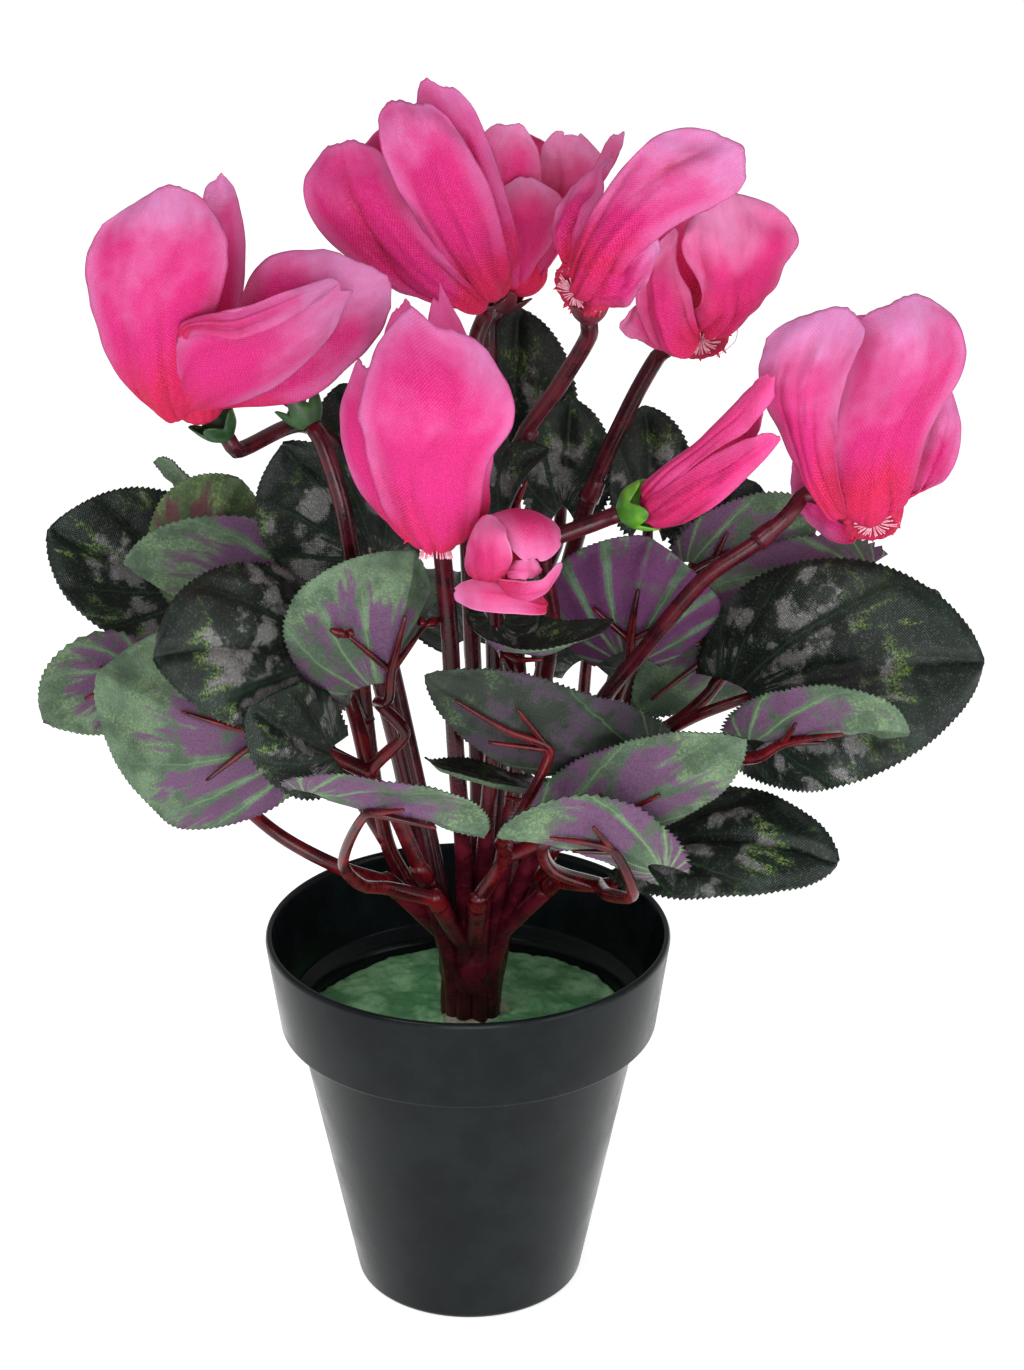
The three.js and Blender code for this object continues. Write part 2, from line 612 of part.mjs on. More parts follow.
// One point of a leaf at share t of its midline and v, from -1 to 1, across it.
function leafPoint(spec, t, v) {
  const back = LOBE_REACH * Math.abs(v) ** 1.5 * (1 - t) ** 2;
  const { place, up, side } = midline(spec, t - back);
  const ripple = LEAF_WAVE * v * v * t * Math.sin(7 * t + 2 * Math.sign(v) + spec.width);
  const { across, lift } = section(spec, v * leafShare(t));
  return place.addScaledVector(side, across).addScaledVector(up, lift + ripple);
}

// One point of a petal. Both edges start near the core, and the cloth bows out between them.
function petalPoint(petal, t, v) {
  const s = t - TIP_ROUND * v ** 4 * t ** 5;
  const middleAt = (share) => petal.leftEdge.getPoint(share).lerp(petal.rightEdge.getPoint(share), 0.5);
  const left = petal.leftEdge.getPoint(s);
  const across = petal.rightEdge.getPoint(s).sub(left).multiplyScalar(0.5);
  const along = middleAt(Math.min(s + SLOPE_STEP, 1)).sub(middleAt(Math.max(s - SLOPE_STEP, 0)));
  const outward = across.clone().cross(along).normalize();
  const bow = THREE.MathUtils.lerp(petal.rootBow, petal.bow, Math.min(BOW_SETTLES * s, 1));
  return left.addScaledVector(across, 1 + v).addScaledVector(outward, bow * across.length() * (1 - v * v));
}

// Rows of points of a leaf, toothed along both edges.
function leafGrid(spec) {
  const broad = spec.width >= BROAD_LEAF;
  const rows = broad ? BROAD_ROWS : SLIM_ROWS;
  const columns = broad ? BROAD_COLUMNS : SLIM_COLUMNS;
  const grid = [];
  for (let i = 0; i <= rows; i += 1) {
    const line = [];
    for (let j = 0; j <= columns; j += 1) {
      const v = (2 * j) / columns - 1;
      const toothed = Math.abs(v) === 1 && i > 0 && i < rows;
      const tooth = toothed ? 1 + (i % 2 === 1 ? TOOTH : -TOOTH) : 1;
      line.push(leafPoint(spec, i / rows, v * tooth));
    }
    grid.push(line);
  }
  return grid;
}

// Rows of points of a petal, from inside the core to its tip.
function petalGrid(spec, core) {
  const edge = (stations) => {
    const points = stations.map(vec);
    points.unshift(points[0].clone().sub(core).multiplyScalar(PETAL_INSET).add(core));
    return new THREE.CatmullRomCurve3(points, false, 'catmullrom', 0.5);
  };
  const petal = { ...USUAL_PETAL, ...spec, leftEdge: edge(spec.left), rightEdge: edge(spec.right) };
  const broad = vec(spec.left[2]).distanceTo(vec(spec.right[2])) >= BROAD_PETAL;
  const columns = broad ? PETAL_COLUMNS : SLIM_COLUMNS;
  return PETAL_ROWS.map((t) => {
    const line = [];
    for (let j = 0; j <= columns; j += 1) line.push(petalPoint(petal, t, (2 * j) / columns - 1));
    return line;
  });
}

// A thin closed blade around a grid of points, split into triangles alike on both faces.
function blade(grid) {
  const rows = grid.length - 1;
  const columns = grid[0].length - 1;
  const positions = [];
  for (const shift of [BLADE_THICKNESS / 2, -BLADE_THICKNESS / 2]) {
    for (let i = 0; i <= rows; i += 1) {
      for (let j = 0; j <= columns; j += 1) {
        const along = grid[Math.min(i + 1, rows)][j].clone().sub(grid[Math.max(i - 1, 0)][j]);
        const across = grid[i][Math.min(j + 1, columns)].clone().sub(grid[i][Math.max(j - 1, 0)]);
        const normal = across.cross(along).normalize();
        positions.push(...grid[i][j].clone().addScaledVector(normal, shift).toArray());
      }
    }
  }
  const top = (i, j) => i * (columns + 1) + j;
  const low = (i, j) => top(i, j) + (rows + 1) * (columns + 1);
  const triangles = [];
  const quad = (a, b, c, d) => triangles.push(a, b, c, a, c, d);
  for (let i = 0; i < rows; i += 1) {
    for (let j = 0; j < columns; j += 1) {
      quad(top(i, j), top(i, j + 1), top(i + 1, j + 1), top(i + 1, j));
      triangles.push(low(i, j), low(i + 1, j + 1), low(i, j + 1));
      triangles.push(low(i, j), low(i + 1, j), low(i + 1, j + 1));
    }
    quad(top(i, 0), top(i + 1, 0), low(i + 1, 0), low(i, 0));
    quad(top(i + 1, columns), top(i, columns), low(i, columns), low(i + 1, columns));
  }
  for (let j = 0; j < columns; j += 1) {
    quad(top(0, j + 1), top(0, j), low(0, j), low(0, j + 1));
    quad(top(rows, j), top(rows, j + 1), low(rows, j + 1), low(rows, j));
  }
  const geometry = new THREE.BufferGeometry();
  geometry.setAttribute('position', new THREE.Float32BufferAttribute(positions, 3));
  geometry.setIndex(triangles);
  return geometry;
}

// Turns a geometry that stands along +Y to a direction and moves it to a place.
function aim(geometry, direction, place) {
  const turn = new THREE.Quaternion().setFromUnitVectors(new THREE.Vector3(0, 1, 0), direction);
  return geometry.applyQuaternion(turn).translate(place.x, place.y, place.z);
}

function potGeometry() {
  const rimInside = RIM_RADIUS - POT_WALL;
  const bandInside = BAND_FOOT_RADIUS - POT_WALL;
  const bandFoot = POT_HEIGHT - BAND_HEIGHT;
  const profile = [
    [0, 0],
    [BASE_RADIUS - EDGE_ROUND, 0],
    [BASE_RADIUS, EDGE_ROUND],
    [BODY_TOP_RADIUS, bandFoot],
    [BAND_FOOT_RADIUS, bandFoot],
    [RIM_RADIUS, POT_HEIGHT - EDGE_ROUND],
    [RIM_RADIUS - EDGE_ROUND / 2, POT_HEIGHT],
    [rimInside + EDGE_ROUND / 2, POT_HEIGHT],
    [rimInside, POT_HEIGHT - EDGE_ROUND],
    [bandInside, bandFoot + 2 * LEDGE_HEIGHT],
    [BODY_TOP_RADIUS - POT_WALL + EDGE_ROUND, bandFoot + LEDGE_HEIGHT],
    [BODY_TOP_RADIUS - POT_WALL, bandFoot],
    [BASE_RADIUS - POT_WALL, POT_FLOOR],
    [0, POT_FLOOR],
  ];
  return turned(profile, POT_SIDES, 0, 0);
}

// A profile of radius and height pairs turned about an upright axis.
function turned(profile, sides, x, y) {
  const geometry = new THREE.LatheGeometry(profile.map(([r, z]) => new THREE.Vector2(r, z)), sides);
  return geometry.rotateX(Math.PI / 2).translate(x, y, 0);
}

function foamGeometry() {
  const wall = (z) => BASE_RADIUS - POT_WALL
    + ((BODY_TOP_RADIUS - BASE_RADIUS) * (z - POT_FLOOR)) / (POT_HEIGHT - BAND_HEIGHT - POT_FLOOR);
  const low = POT_FLOOR + SEAT_GAP;
  const block = turned([
    [0, low],
    [wall(low) - 2 * SEAT_GAP, low],
    [wall(FOAM_TOP) - 2 * SEAT_GAP, FOAM_TOP],
    [0, FOAM_TOP],
  ], FOAM_SIDES, 0, 0);
  const hole = turned([
    [0, TRUNK_FOOT - SEAT_GAP],
    [TRUNK_RADIUS + 1.5 * SEAT_GAP, TRUNK_FOOT - SEAT_GAP],
    [TRUNK_RADIUS + 1.5 * SEAT_GAP, FOAM_TOP + 1],
    [0, FOAM_TOP + 1],
  ], TRUNK_SIDES, TRUNK_X, TRUNK_Y);
  return geometryOf(solidOf(block).subtract(solidOf(hole)));
}

// Direction of the stub that carries a spray, and the point where the stub leaves the trunk.
function stubStart(spray) {
  const axis = new THREE.Vector3(TRUNK_X, TRUNK_Y, STUB_ROOT_Z);
  const outward = vec(spray.stub).sub(axis).normalize();
  return { outward, root: axis.addScaledVector(outward, TRUNK_RADIUS / 2) };
}

// Side of a core that faces its stem.
function rearOf(head, name) {
  return vec(STEMS[name].at(-1)).sub(vec(head.core)).normalize();
}

// Distance from a core to its calyx, less than nothing where the two are one body.
function cupGap(name) {
  return OWN_CALYX.includes(name) ? SEAT_GAP : -CUP_OVERLAP;
}

function stemRoute(name) {
  const head = HEADS[name];
  const rear = rearOf(head, name);
  const reach = head.hub + cupGap(name) + CUP_LENGTH + SEAT_GAP;
  const end = vec(head.core).addScaledVector(rear, reach);
  const points = STEMS[name].slice(0, -1).map(vec);
  points.push(end.clone().addScaledVector(rear, CUP_LENGTH), end);
  return points;
}

function bushGeometry() {
  const pieces = [turned([
    [0, TRUNK_FOOT],
    [TRUNK_RADIUS, TRUNK_FOOT],
    [TRUNK_RADIUS, FOAM_TOP + 3],
    [TRUNK_FLARE_RADIUS, TRUNK_FLARE_Z],
    [TRUNK_FLARE_RADIUS, TRUNK_TOP - 6],
    [TRUNK_FLARE_RADIUS - 4, TRUNK_TOP - 1],
    [0, TRUNK_TOP],
  ], TRUNK_SIDES, TRUNK_X, TRUNK_Y)];
  for (const name of Object.keys(STEMS)) {
    const points = stemRoute(name);
    pieces.push(rod(points, points.map(() => STEM_RADIUS), STEM_SIDES));
    if (JOINTED.includes(name)) {
      const [low, high] = points.slice(-4);
      const sleeve = [low, high.clone().sub(low).setLength(JOINT_LENGTH).add(low)];
      pieces.push(rod(sleeve, [JOINT_RADIUS, STEM_RADIUS], STEM_SIDES));
    }
  }
  for (const spray of Object.values(SPRAYS)) {
    const { root } = stubStart(spray);
    pieces.push(rod([root, vec(spray.stub)], [STUB_RADIUS, STUB_RADIUS], STALK_SIDES));
  }
  return joined(pieces);
}

// Point under a leaf at which the middle of a stalk or rib of the given radius lies.
function underLeaf(spec, t, v, radius) {
  const drop = BLADE_THICKNESS / 2 + SEAT_GAP + radius;
  return leafPoint(spec, t, v).addScaledVector(midline(spec, t).up, -drop);
}

// Each stalk runs on under its leaf as the middle rib. Two side ribs spread from where it lands.
function sprayGeometry(spray) {
  const { outward } = stubStart(spray);
  const root = vec(spray.stub).addScaledVector(outward, SEAT_GAP);
  const collar = root.clone().addScaledVector(outward, JOINT_LENGTH);
  const pieces = [rod([root, collar], [STUB_RADIUS, STALK_ROOT_RADIUS], STALK_SIDES)];
  spray.stalks.forEach((stalk, index) => {
    const spec = LEAVES[stalk.leaf];
    const route = stalk.route.map(vec);
    if (index === 0) route.unshift(root.clone().lerp(collar, 0.6));
    if (spec.at < MID_LEAF) {
      const { along } = midline(spec, 0);
      route.push(underLeaf(spec, 0, 0, STALK_TIP_RADIUS + STALK_DIP).addScaledVector(along, -STALK_LEAD));
    }
    const landing = underLeaf(spec, spec.at, 0, STALK_TIP_RADIUS);
    route.push(landing);
    const taper = (STALK_ROOT_RADIUS - STALK_TIP_RADIUS) / (route.length - 1);
    const radii = route.map((_, step) => STALK_ROOT_RADIUS - taper * step);
    for (const share of [0.5, 1]) {
      route.push(underLeaf(spec, spec.at + RIB_REACH * share, 0, STALK_TIP_RADIUS));
      radii.push(THREE.MathUtils.lerp(STALK_TIP_RADIUS, RIB_TIP_RADIUS, share));
    }
    pieces.push(rod(route, radii, STALK_SIDES));
    const drop = spec.curl > 0 ? SIDE_RIB_DROP : 0;
    const [left, right] = [-SIDE_RIB_SPREAD, SIDE_RIB_SPREAD]
      .map((v) => underLeaf(spec, spec.at + SIDE_RIB_REACH, v, STALK_TIP_RADIUS + drop));
    pieces.push(rod([left, landing, right], [RIB_TIP_RADIUS, SIDE_RIB_RADIUS, RIB_TIP_RADIUS], RIB_SIDES));
  });
  return joined(pieces);
}

// A five-pointed cup on the side of a core that faces the stem.
function calyxGeometry(head, name) {
  const rear = rearOf(head, name);
  const star = new THREE.CylinderGeometry(1, 1, CUP_LENGTH, 2 * SEPALS);
  const position = star.getAttribute('position');
  for (let i = 0; i < position.count; i += 1) {
    const [x, y, z] = [position.getX(i), position.getY(i), position.getZ(i)];
    const corner = Math.round((Math.atan2(z, x) / Math.PI) * SEPALS);
    const rim = corner % 2 === 0 ? SEPAL_REACH : NOTCH_RADIUS;
    const radius = y > 0 ? rim : CUP_FOOT_RADIUS;
    position.setXYZ(i, x * radius, y, z * radius);
  }
  const middle = vec(head.core).addScaledVector(rear, head.hub + cupGap(name) + CUP_LENGTH / 2);
  return aim(star, rear.negate(), middle);
}

function headGeometry(head, name) {
  const core = vec(head.core);
  const hub = new THREE.SphereGeometry(head.hub, HUB_SIDES, HUB_RINGS);
  const pole = SHOWN_THREADS.includes(name) ? vec(head.throat).normalize() : rearOf(head, name);
  const pieces = [aim(hub, pole, core)];
  for (const petal of head.petals) pieces.push(blade(petalGrid(petal, core)));
  if (!OWN_CALYX.includes(name)) pieces.push(calyxGeometry(head, name));
  return joined(pieces);
}

function threadsGeometry(head) {
  const throat = vec(head.throat).normalize();
  const front = vec(head.core).addScaledVector(throat, head.hub + SEAT_GAP + BUTTON_HEIGHT / 2);
  const button = new THREE.CylinderGeometry(BUTTON_RADIUS, BUTTON_RADIUS, BUTTON_HEIGHT, HUB_SIDES);
  const pieces = [aim(button, throat, front)];
  const aside = new THREE.Vector3(1, 0, 0).cross(throat).normalize();
  for (let i = 0; i < THREADS; i += 1) {
    const outward = aside.clone().applyAxisAngle(throat, (i * 2 * Math.PI) / THREADS);
    const lean = outward.clone().multiplyScalar(THREAD_LEAN).add(throat).normalize();
    const thread = new THREE.ConeGeometry(THREAD_RADIUS, THREAD_LENGTH, 3);
    const foot = front.clone().addScaledVector(outward, THREAD_RING).addScaledVector(lean, THREAD_LENGTH / 2);
    pieces.push(aim(thread, lean, foot));
  }
  return joined(pieces);
}

const plant = new THREE.Group();

function addNode(name, geometry, finish) {
  const mesh = new THREE.Mesh(geometry, new THREE.MeshStandardMaterial(MATERIALS[finish]));
  mesh.name = name;
  plant.add(mesh);
}

for (const [name, spec] of Object.entries(LEAVES)) LEAVES[name] = { ...USUAL_LEAF, ...spec };

addNode('pot', joined([potGeometry()]), 'pot');
addNode('foam_filler', foamGeometry(), 'foam');
addNode('stem_bush', bushGeometry(), 'stem');
for (const [name, spray] of Object.entries(SPRAYS)) addNode(name, sprayGeometry(spray), 'stalk');
for (const [name, spec] of Object.entries(LEAVES)) addNode(name, joined([blade(leafGrid(spec))]), 'leaf');
for (const [name, head] of Object.entries(HEADS)) addNode(name, headGeometry(head, name), 'petal');
for (const name of OWN_CALYX) addNode(`${name}_calyx`, joined([calyxGeometry(HEADS[name], name)]), 'calyx');
for (const name of SHOWN_THREADS) addNode(`${name}_threads`, threadsGeometry(HEADS[name]), 'thread');

export default plant;
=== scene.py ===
# %% [markdown]
# # An artificial cyclamen in a pot
# The real thing is made of bought-in pieces: a moulded pot with a block of green foam in it, one
# moulded bush of flower stems pushed into the foam, nine sprays of leaf stalks plugged onto the
# bush, printed fabric leaves glued over the stalk ends, and dyed fabric flowers.
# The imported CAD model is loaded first. It fixes where every piece is, and nothing of it is moved.

import math
import random
from functools import partial

import bpy
import numpy as np
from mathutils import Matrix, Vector, noise


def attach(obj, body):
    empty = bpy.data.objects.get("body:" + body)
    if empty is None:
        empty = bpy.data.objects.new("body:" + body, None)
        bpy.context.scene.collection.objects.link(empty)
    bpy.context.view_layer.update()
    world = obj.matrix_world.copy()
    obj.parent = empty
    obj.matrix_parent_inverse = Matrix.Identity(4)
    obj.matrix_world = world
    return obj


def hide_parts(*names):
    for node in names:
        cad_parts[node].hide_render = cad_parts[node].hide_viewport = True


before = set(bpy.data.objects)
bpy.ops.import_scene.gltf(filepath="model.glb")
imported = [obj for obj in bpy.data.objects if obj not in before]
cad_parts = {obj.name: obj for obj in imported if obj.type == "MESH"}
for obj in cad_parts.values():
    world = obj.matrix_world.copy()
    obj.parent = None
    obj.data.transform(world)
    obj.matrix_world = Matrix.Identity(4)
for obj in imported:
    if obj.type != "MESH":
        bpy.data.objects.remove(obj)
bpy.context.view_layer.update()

# %% [markdown]
# ## The camera
# The photograph was taken from a little above the flowers with a long lens. A camera could be
# turned by eye until the view fits. Here its pitch, distance and focal length were fitted to the
# rim, band and foot of the pot instead, so every piece falls where the photograph shows it.

# %% Camera
PITCH = math.radians(22.9)
DISTANCE = 1.006
AIM = Vector((0.013, 0.0, 0.1923))
SENSOR_MM, FOCAL_MM = 36, 123.05

view_line = Vector((0, math.cos(PITCH), -math.sin(PITCH)))
lens = bpy.data.cameras.new("camera")
lens.sensor_fit = "HORIZONTAL"
lens.sensor_width, lens.lens = SENSOR_MM, FOCAL_MM
camera = bpy.data.objects.new("camera", lens)
camera.location = AIM - view_line * DISTANCE
camera.rotation_euler = (math.pi / 2 - PITCH, 0, 0)
bpy.context.scene.collection.objects.link(camera)
bpy.context.scene.camera = camera
print("camera at", [round(c, 3) for c in camera.location])

# %% [markdown]
# ## Pieces made of points
# Leaves and petals could be sculpted by hand. Here numpy works out whole grids of points at once,
# because then each fold and tooth stays a number that can be changed. Points are in millimetres
# and turn to metres when the mesh is made.

# %% Helpers for points
MM = 0.001


def unit(rows):
    """Vectors made one long."""
    return rows / np.linalg.norm(rows, axis=-1, keepdims=True)


def smooth(low, high, x):
    """Goes softly from 0 at low to 1 at high."""
    s = np.clip((x - low) / (high - low), 0, 1)
    return s * s * (3 - 2 * s)


def length_of(line):
    return np.linalg.norm(np.diff(line, axis=0), axis=1).sum()


def hermite(p1, p2, m1, m2, s):
    """The point at share s of a curve that leaves p1 along m1 and reaches p2 along m2."""
    return ((2 * s**3 - 3 * s**2 + 1) * p1 + (s**3 - 2 * s**2 + s) * m1
            + (3 * s**2 - 2 * s**3) * p2 + (s**3 - s**2) * m2)


def noise_grid(points, scale, seed):
    flat = points.reshape(-1, 3) * scale + seed * 7.31
    return np.array([noise.noise(Vector(p)) for p in flat]).reshape(points.shape[:-1])


def band(rings, sides, order="abcd"):
    """Faces between rings of points that close on themselves, with their corners in this order."""
    index = np.arange(rings * sides).reshape(rings, sides)
    after = np.roll(index, -1, axis=1)
    corner = {"a": index[:-1], "b": after[:-1], "c": after[1:], "d": index[1:]}
    return np.stack([corner[letter] for letter in order], axis=-1).reshape(-1, 4).tolist()


# %% [markdown]
# A piece is gathered part by part and then made as one mesh. It keeps three facts on every point,
# which the materials read later: `cut` is the place on the flat cloth in millimetres, `fan` tells
# about veins, or how deep in a fold a point lies for the painted shade there, and `rim` begins
# with the distance to the cut edge.

# %% A piece and its facts
USUAL_FACTS = {"cut": (0.0, 3.0, 0.0), "fan": (0.0, 0.0, 0.0), "rim": (20.0, 0.0, 0.0)}


class Batch:
    """Points, faces and facts of one piece, gathered part by part."""

    def __init__(self):
        self.points, self.faces, self.finish, self.count = [], [], [], 0
        self.facts = {key: [] for key in USUAL_FACTS}

    def add(self, points, faces, finish=0, **facts):
        self.points.append(points)
        self.faces += [[corner + self.count for corner in face] for face in faces]
        self.finish += [finish] * len(faces) if isinstance(finish, int) else list(finish)
        for key, usual in USUAL_FACTS.items():
            self.facts[key].append(facts.get(key, np.tile(usual, (len(points), 1))))
        self.count += len(points)

    def piece(self, name, nodes, slot, finishes):
        mesh = bpy.data.meshes.new(name)
        mesh.from_pydata((np.concatenate(self.points) * MM).tolist(), [], self.faces)
        for finish in finishes:
            mesh.materials.append(finish)
        mesh.polygons.foreach_set("material_index", self.finish)
        mesh.shade_smooth()
        for key, values in self.facts.items():
            layer = mesh.attributes.new(key, "FLOAT_VECTOR", "POINT")
            layer.data.foreach_set("vector", np.concatenate(values).astype(np.float32).ravel())
        made = bpy.data.objects.new(name, mesh)
        bpy.context.scene.collection.objects.link(made)
        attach(made, "root")
        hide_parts(*nodes)


# %% [markdown]
# ## Materials
# A material is a small network of nodes. `add` makes one node with its settings and links, and
# settings that many nodes share have a name. Colours are written the way a colour picker shows
# them and turned into light values by one function.

# %% Helpers for materials
FACTOR, A, B, MIXED = 0, 6, 7, 2
COLOURS = {"data_type": "RGBA", "out": MIXED}
TIMES = {"operation": "MULTIPLY"}
PLUS = {"operation": "ADD"}
SOFT = {"interpolation_type": "SMOOTHSTEP"}


def colour(code):
    """Light values of a colour written as #RRGGBB."""
    parts = [int(code[i:i + 2], 16) / 255 for i in (1, 3, 5)]
    return (*[p / 12.92 if p <= 0.04045 else ((p + 0.055) / 1.055) ** 2.4 for p in parts], 1)


def add(tree, kind, *inputs, out=0, **settings):
    """Adds one node. Inputs are values or sockets, in order or by name, and `out` picks an output."""
    made = tree.nodes.new("ShaderNode" + kind)
    for key, value in settings.items():
        setattr(made, key, value)
    named = inputs[0] if inputs and isinstance(inputs[0], dict) else dict(enumerate(inputs))
    for socket, value in named.items():
        if isinstance(value, bpy.types.NodeSocket):
            tree.links.new(value, made.inputs[socket])
        else:
            made.inputs[socket].default_value = value
    return made.outputs if out is None else made.outputs[out]


def material(name):
    """An empty material, and `add` bound to its nodes."""
    made = bpy.data.materials.new(name)
    made.use_nodes = True
    made.node_tree.nodes.clear()
    return made, partial(add, made.node_tree)


def inked(node, ground, layers):
    """Inks laid over the ground one after another, each with the share that it covers."""
    for ink, share in layers:
        ground = node("Mix", {FACTOR: share, A: ground, B: colour(ink)}, **COLOURS)
    return ground


# %% [markdown]
# ### Woven polyester
# Leaves and petals are cut from woven polyester. Its threads could be modelled, but they are far
# too fine, so they are a height that goes up and down along and across the flat cloth. It feeds
# the bump, places the specks of leaf print, and lightens the raised threads as a painted highlight.
# The real threads lie closer: these are as far apart as the lines that show in the photograph, so
# that the render shows them too.

# %% Weave
WEAVE_MM = 0.8
THREAD_RELIEF = {"Strength": 0.5, "Distance": 0.00012}
THREAD_LIGHT = "#FFE8F4"


def weave_height(node, cut):
    x, y, _ = node("SeparateXYZ", cut, out=None)
    turns = 2 * math.pi / WEAVE_MM
    warp = node("Math", node("Math", x, turns, **TIMES), operation="SINE")
    weft = node("Math", node("Math", y, turns, **TIMES), operation="SINE")
    return node("Math", warp, weft, **TIMES)


# %% [markdown]
# ### Printed leaf
# The upper side of a leaf is printed almost black green. Between its veins sit frosted lilac grey
# patches with a feathered yellow-green outer edge, under a light dust of glitter. The underside is
# sage with purple patches. The print could be painted as a picture. Here it is worked out from the
# leaf's own veins, so each leaf has a print of its own. It is semi-matt above and dull below.
# Noise repeats are counted to a millimetre of cloth: the blotches of the print are 10 mm across,
# its grain is 0.8 mm and the flakes of glitter are 0.4 mm.

# %% Where the print goes
BLOTCH, GRAIN, FLAKE = 1 / 10, 1.3, 2.6


def leaf_zones(node, cut, grain, zone, rarity, soft):
    """The blotches, the veins, the patches between them and the outer border of the patches."""
    fan, gap, reach = node("SeparateXYZ", node("Attribute", out="Vector", attribute_name="fan"), out=None)
    blotch = node("TexNoise", {"Vector": cut, "Scale": BLOTCH, "Detail": 4, "Roughness": 0.55})
    # Flames are stretched along the veins: narrow from vein to vein, long towards the edge.
    beside, along = node("Math", fan, 3.0, **TIMES), node("Math", reach, 2.2, **TIMES)
    flame_at = node("CombineXYZ", beside, along, node("SeparateXYZ", cut, out=2))
    flame = node("TexNoise", {"Vector": flame_at, "Scale": 1.6, "Detail": 4, "Roughness": 0.62})
    flicker = node("Math", node("Math", flame, 0.5, operation="SUBTRACT"), 1.1, **TIMES)
    flamed = node("Math", reach, flicker, **PLUS)
    # Distance to the nearest vein: a share of the space between two veins, then in millimetres.
    wavy = node("Math", fan, node("Math", blotch, 0.25, **TIMES), **PLUS)
    between = node("Math", wavy, 0.5, operation="PINGPONG")
    away = node("Math", node("Math", between, gap, **TIMES), node("Math", grain, 0.6, **TIMES), **PLUS)
    fading = node("MapRange", reach, 1.0, 0.2, 0.1, 0.75, **SOFT)
    vein = node("Math", node("MapRange", away, 0.85, 0.35, **SOFT), fading, **TIMES)
    # A patch keeps off the veins, grows only where the blotches are strong, and fills its zone.
    strong = node("MapRange", blotch, rarity, rarity + 0.16 + soft, **SOFT)
    field = node("Math", node("MapRange", between, 0.03, 0.2, **SOFT), strong, **TIMES)
    first, last = zone
    starts = node("MapRange", flamed, first, first + 0.15 + soft, **SOFT)
    ends = node("MapRange", flamed, last, last - 0.22 - soft, **SOFT)
    patch = node("Math", field, node("Math", starts, ends, **TIMES), **TIMES)
    rises = node("MapRange", flamed, last - 0.17, last - 0.1, **SOFT)
    falls = node("MapRange", flamed, last + 0.02, last - 0.06, **SOFT)
    border = node("Math", field, node("Math", rises, falls, **TIMES), **TIMES)
    return blotch, vein, patch, border


# %% Leaf material
def leaf_material(name, inks, share, zone, rarity, soft, roughness, glitter_glint=0.0):
    """A printed leaf. The inks are two greens, the patches, their feathered border and the veins."""
    made, node = material(name)
    cut = node("Attribute", out="Vector", attribute_name="cut")
    grain = node("TexNoise", {"Vector": cut, "Scale": GRAIN, "Detail": 4, "Roughness": 0.7})
    height = weave_height(node, cut)
    blotch, vein, patch, border = leaf_zones(node, cut, grain, zone, rarity, soft)
    # The patches are made of specks of ink that cling to the threads.
    dither = node("Math", node("Math", height, 0.12, **TIMES), node("Math", grain, 0.4, **TIMES), **PLUS)
    speck = node("Math", dither, node("Math", patch, 0.62, **TIMES), **PLUS)
    speck = node("MapRange", speck, 0.34, 0.84 - soft, **SOFT)
    speck = node("Math", speck, node("MapRange", patch, 0.02, 0.3, **SOFT), **TIMES)
    ground = inked(node, colour(inks[0]), [
        (inks[1], node("MapRange", blotch, 0.35, 0.7, **SOFT)),
        (inks[2], node("Math", speck, share, **TIMES)),
        (inks[3], node("Math", border, node("MapRange", grain, 0.4, 0.7, **SOFT), **TIMES)),
        (inks[4], vein),
    ])
    # Threads that stand up catch the light, and the gaps of the grain are darker.
    raised = node("MapRange", height, 0.2, 1.0, 0.0, 0.3, **SOFT)
    lit = {FACTOR: raised, A: ground, B: colour("#DFE8DC")}
    ground = node("Mix", lit, blend_type="SOFT_LIGHT", **COLOURS)
    ground = inked(node, ground, [("#0A100C", node("MapRange", grain, 0.35, 0.6, 0.3, 0.0, **SOFT))])
    # Glitter: a few of the flakes flash with a painted glint, and most of them lie on the patches.
    flake = node("SeparateColor", node("TexVoronoi", {"Vector": cut, "Scale": FLAKE}, out=1))
    flash = node("Math", node("MapRange", flake, 0.8, 0.95, **SOFT), glitter_glint, **TIMES)
    flash = node("Math", flash, node("MapRange", patch, 0.1, 0.8, 0.2, 1.0, **SOFT), **TIMES)
    bump = node("Bump", {"Height": height, **THREAD_RELIEF})
    cloth_side = node("BsdfPrincipled", {
        "Base Color": inked(node, ground, [("#B4BEBC", flash)]), "Roughness": roughness,
        "Normal": bump, "Specular IOR Level": 0.3,
    })
    light_through = node("BsdfTranslucent", {"Color": ground, "Normal": bump})
    node("OutputMaterial", node("MixShader", 0.05, cloth_side, light_through), out=None)
    return made


# %% Leaf prints
leaf_top = leaf_material(
    "printed_polyester_leaf_upper_side", ("#08130D", "#13251A", "#7C7A7A", "#6E8E3A", "#2A4628"),
    share=0.74, zone=(0.16, 0.8), rarity=0.43, soft=0.02, roughness=0.34, glitter_glint=0.3)
leaf_under = leaf_material(
    "printed_polyester_leaf_underside", ("#4A5E4A", "#6C846A", "#6A4469", "#748C5E", "#7A946E"),
    share=0.94, zone=(0.0, 0.9), rarity=0.27, soft=0.13, roughness=0.75)
leaf_red = leaf_material(
    "printed_polyester_leaf_red_underside", ("#46583C", "#667C54", "#6C3444", "#7C9450", "#74884E"),
    share=0.85, zone=(0.0, 1.0), rarity=0.25, soft=0.2, roughness=0.7)
leaf_purple = leaf_material(
    "printed_polyester_leaf_purple_underside", ("#4A5E4A", "#66806A", "#6C3468", "#748C5E", "#7F9A74"),
    share=0.95, zone=(0.0, 1.2), rarity=0.22, soft=0.14, roughness=0.7)
# A darker copy of the underside print: painted shade for a leaf whose underside lies in shadow.
leaf_under_painted_shade = leaf_material(
    "printed_polyester_leaf_underside_painted_shade", ("#283028", "#3A4A3C", "#48364A", "#5A6E48", "#5C7050"),
    share=0.9, zone=(0.1, 0.95), rarity=0.32, soft=0.12, roughness=0.7)
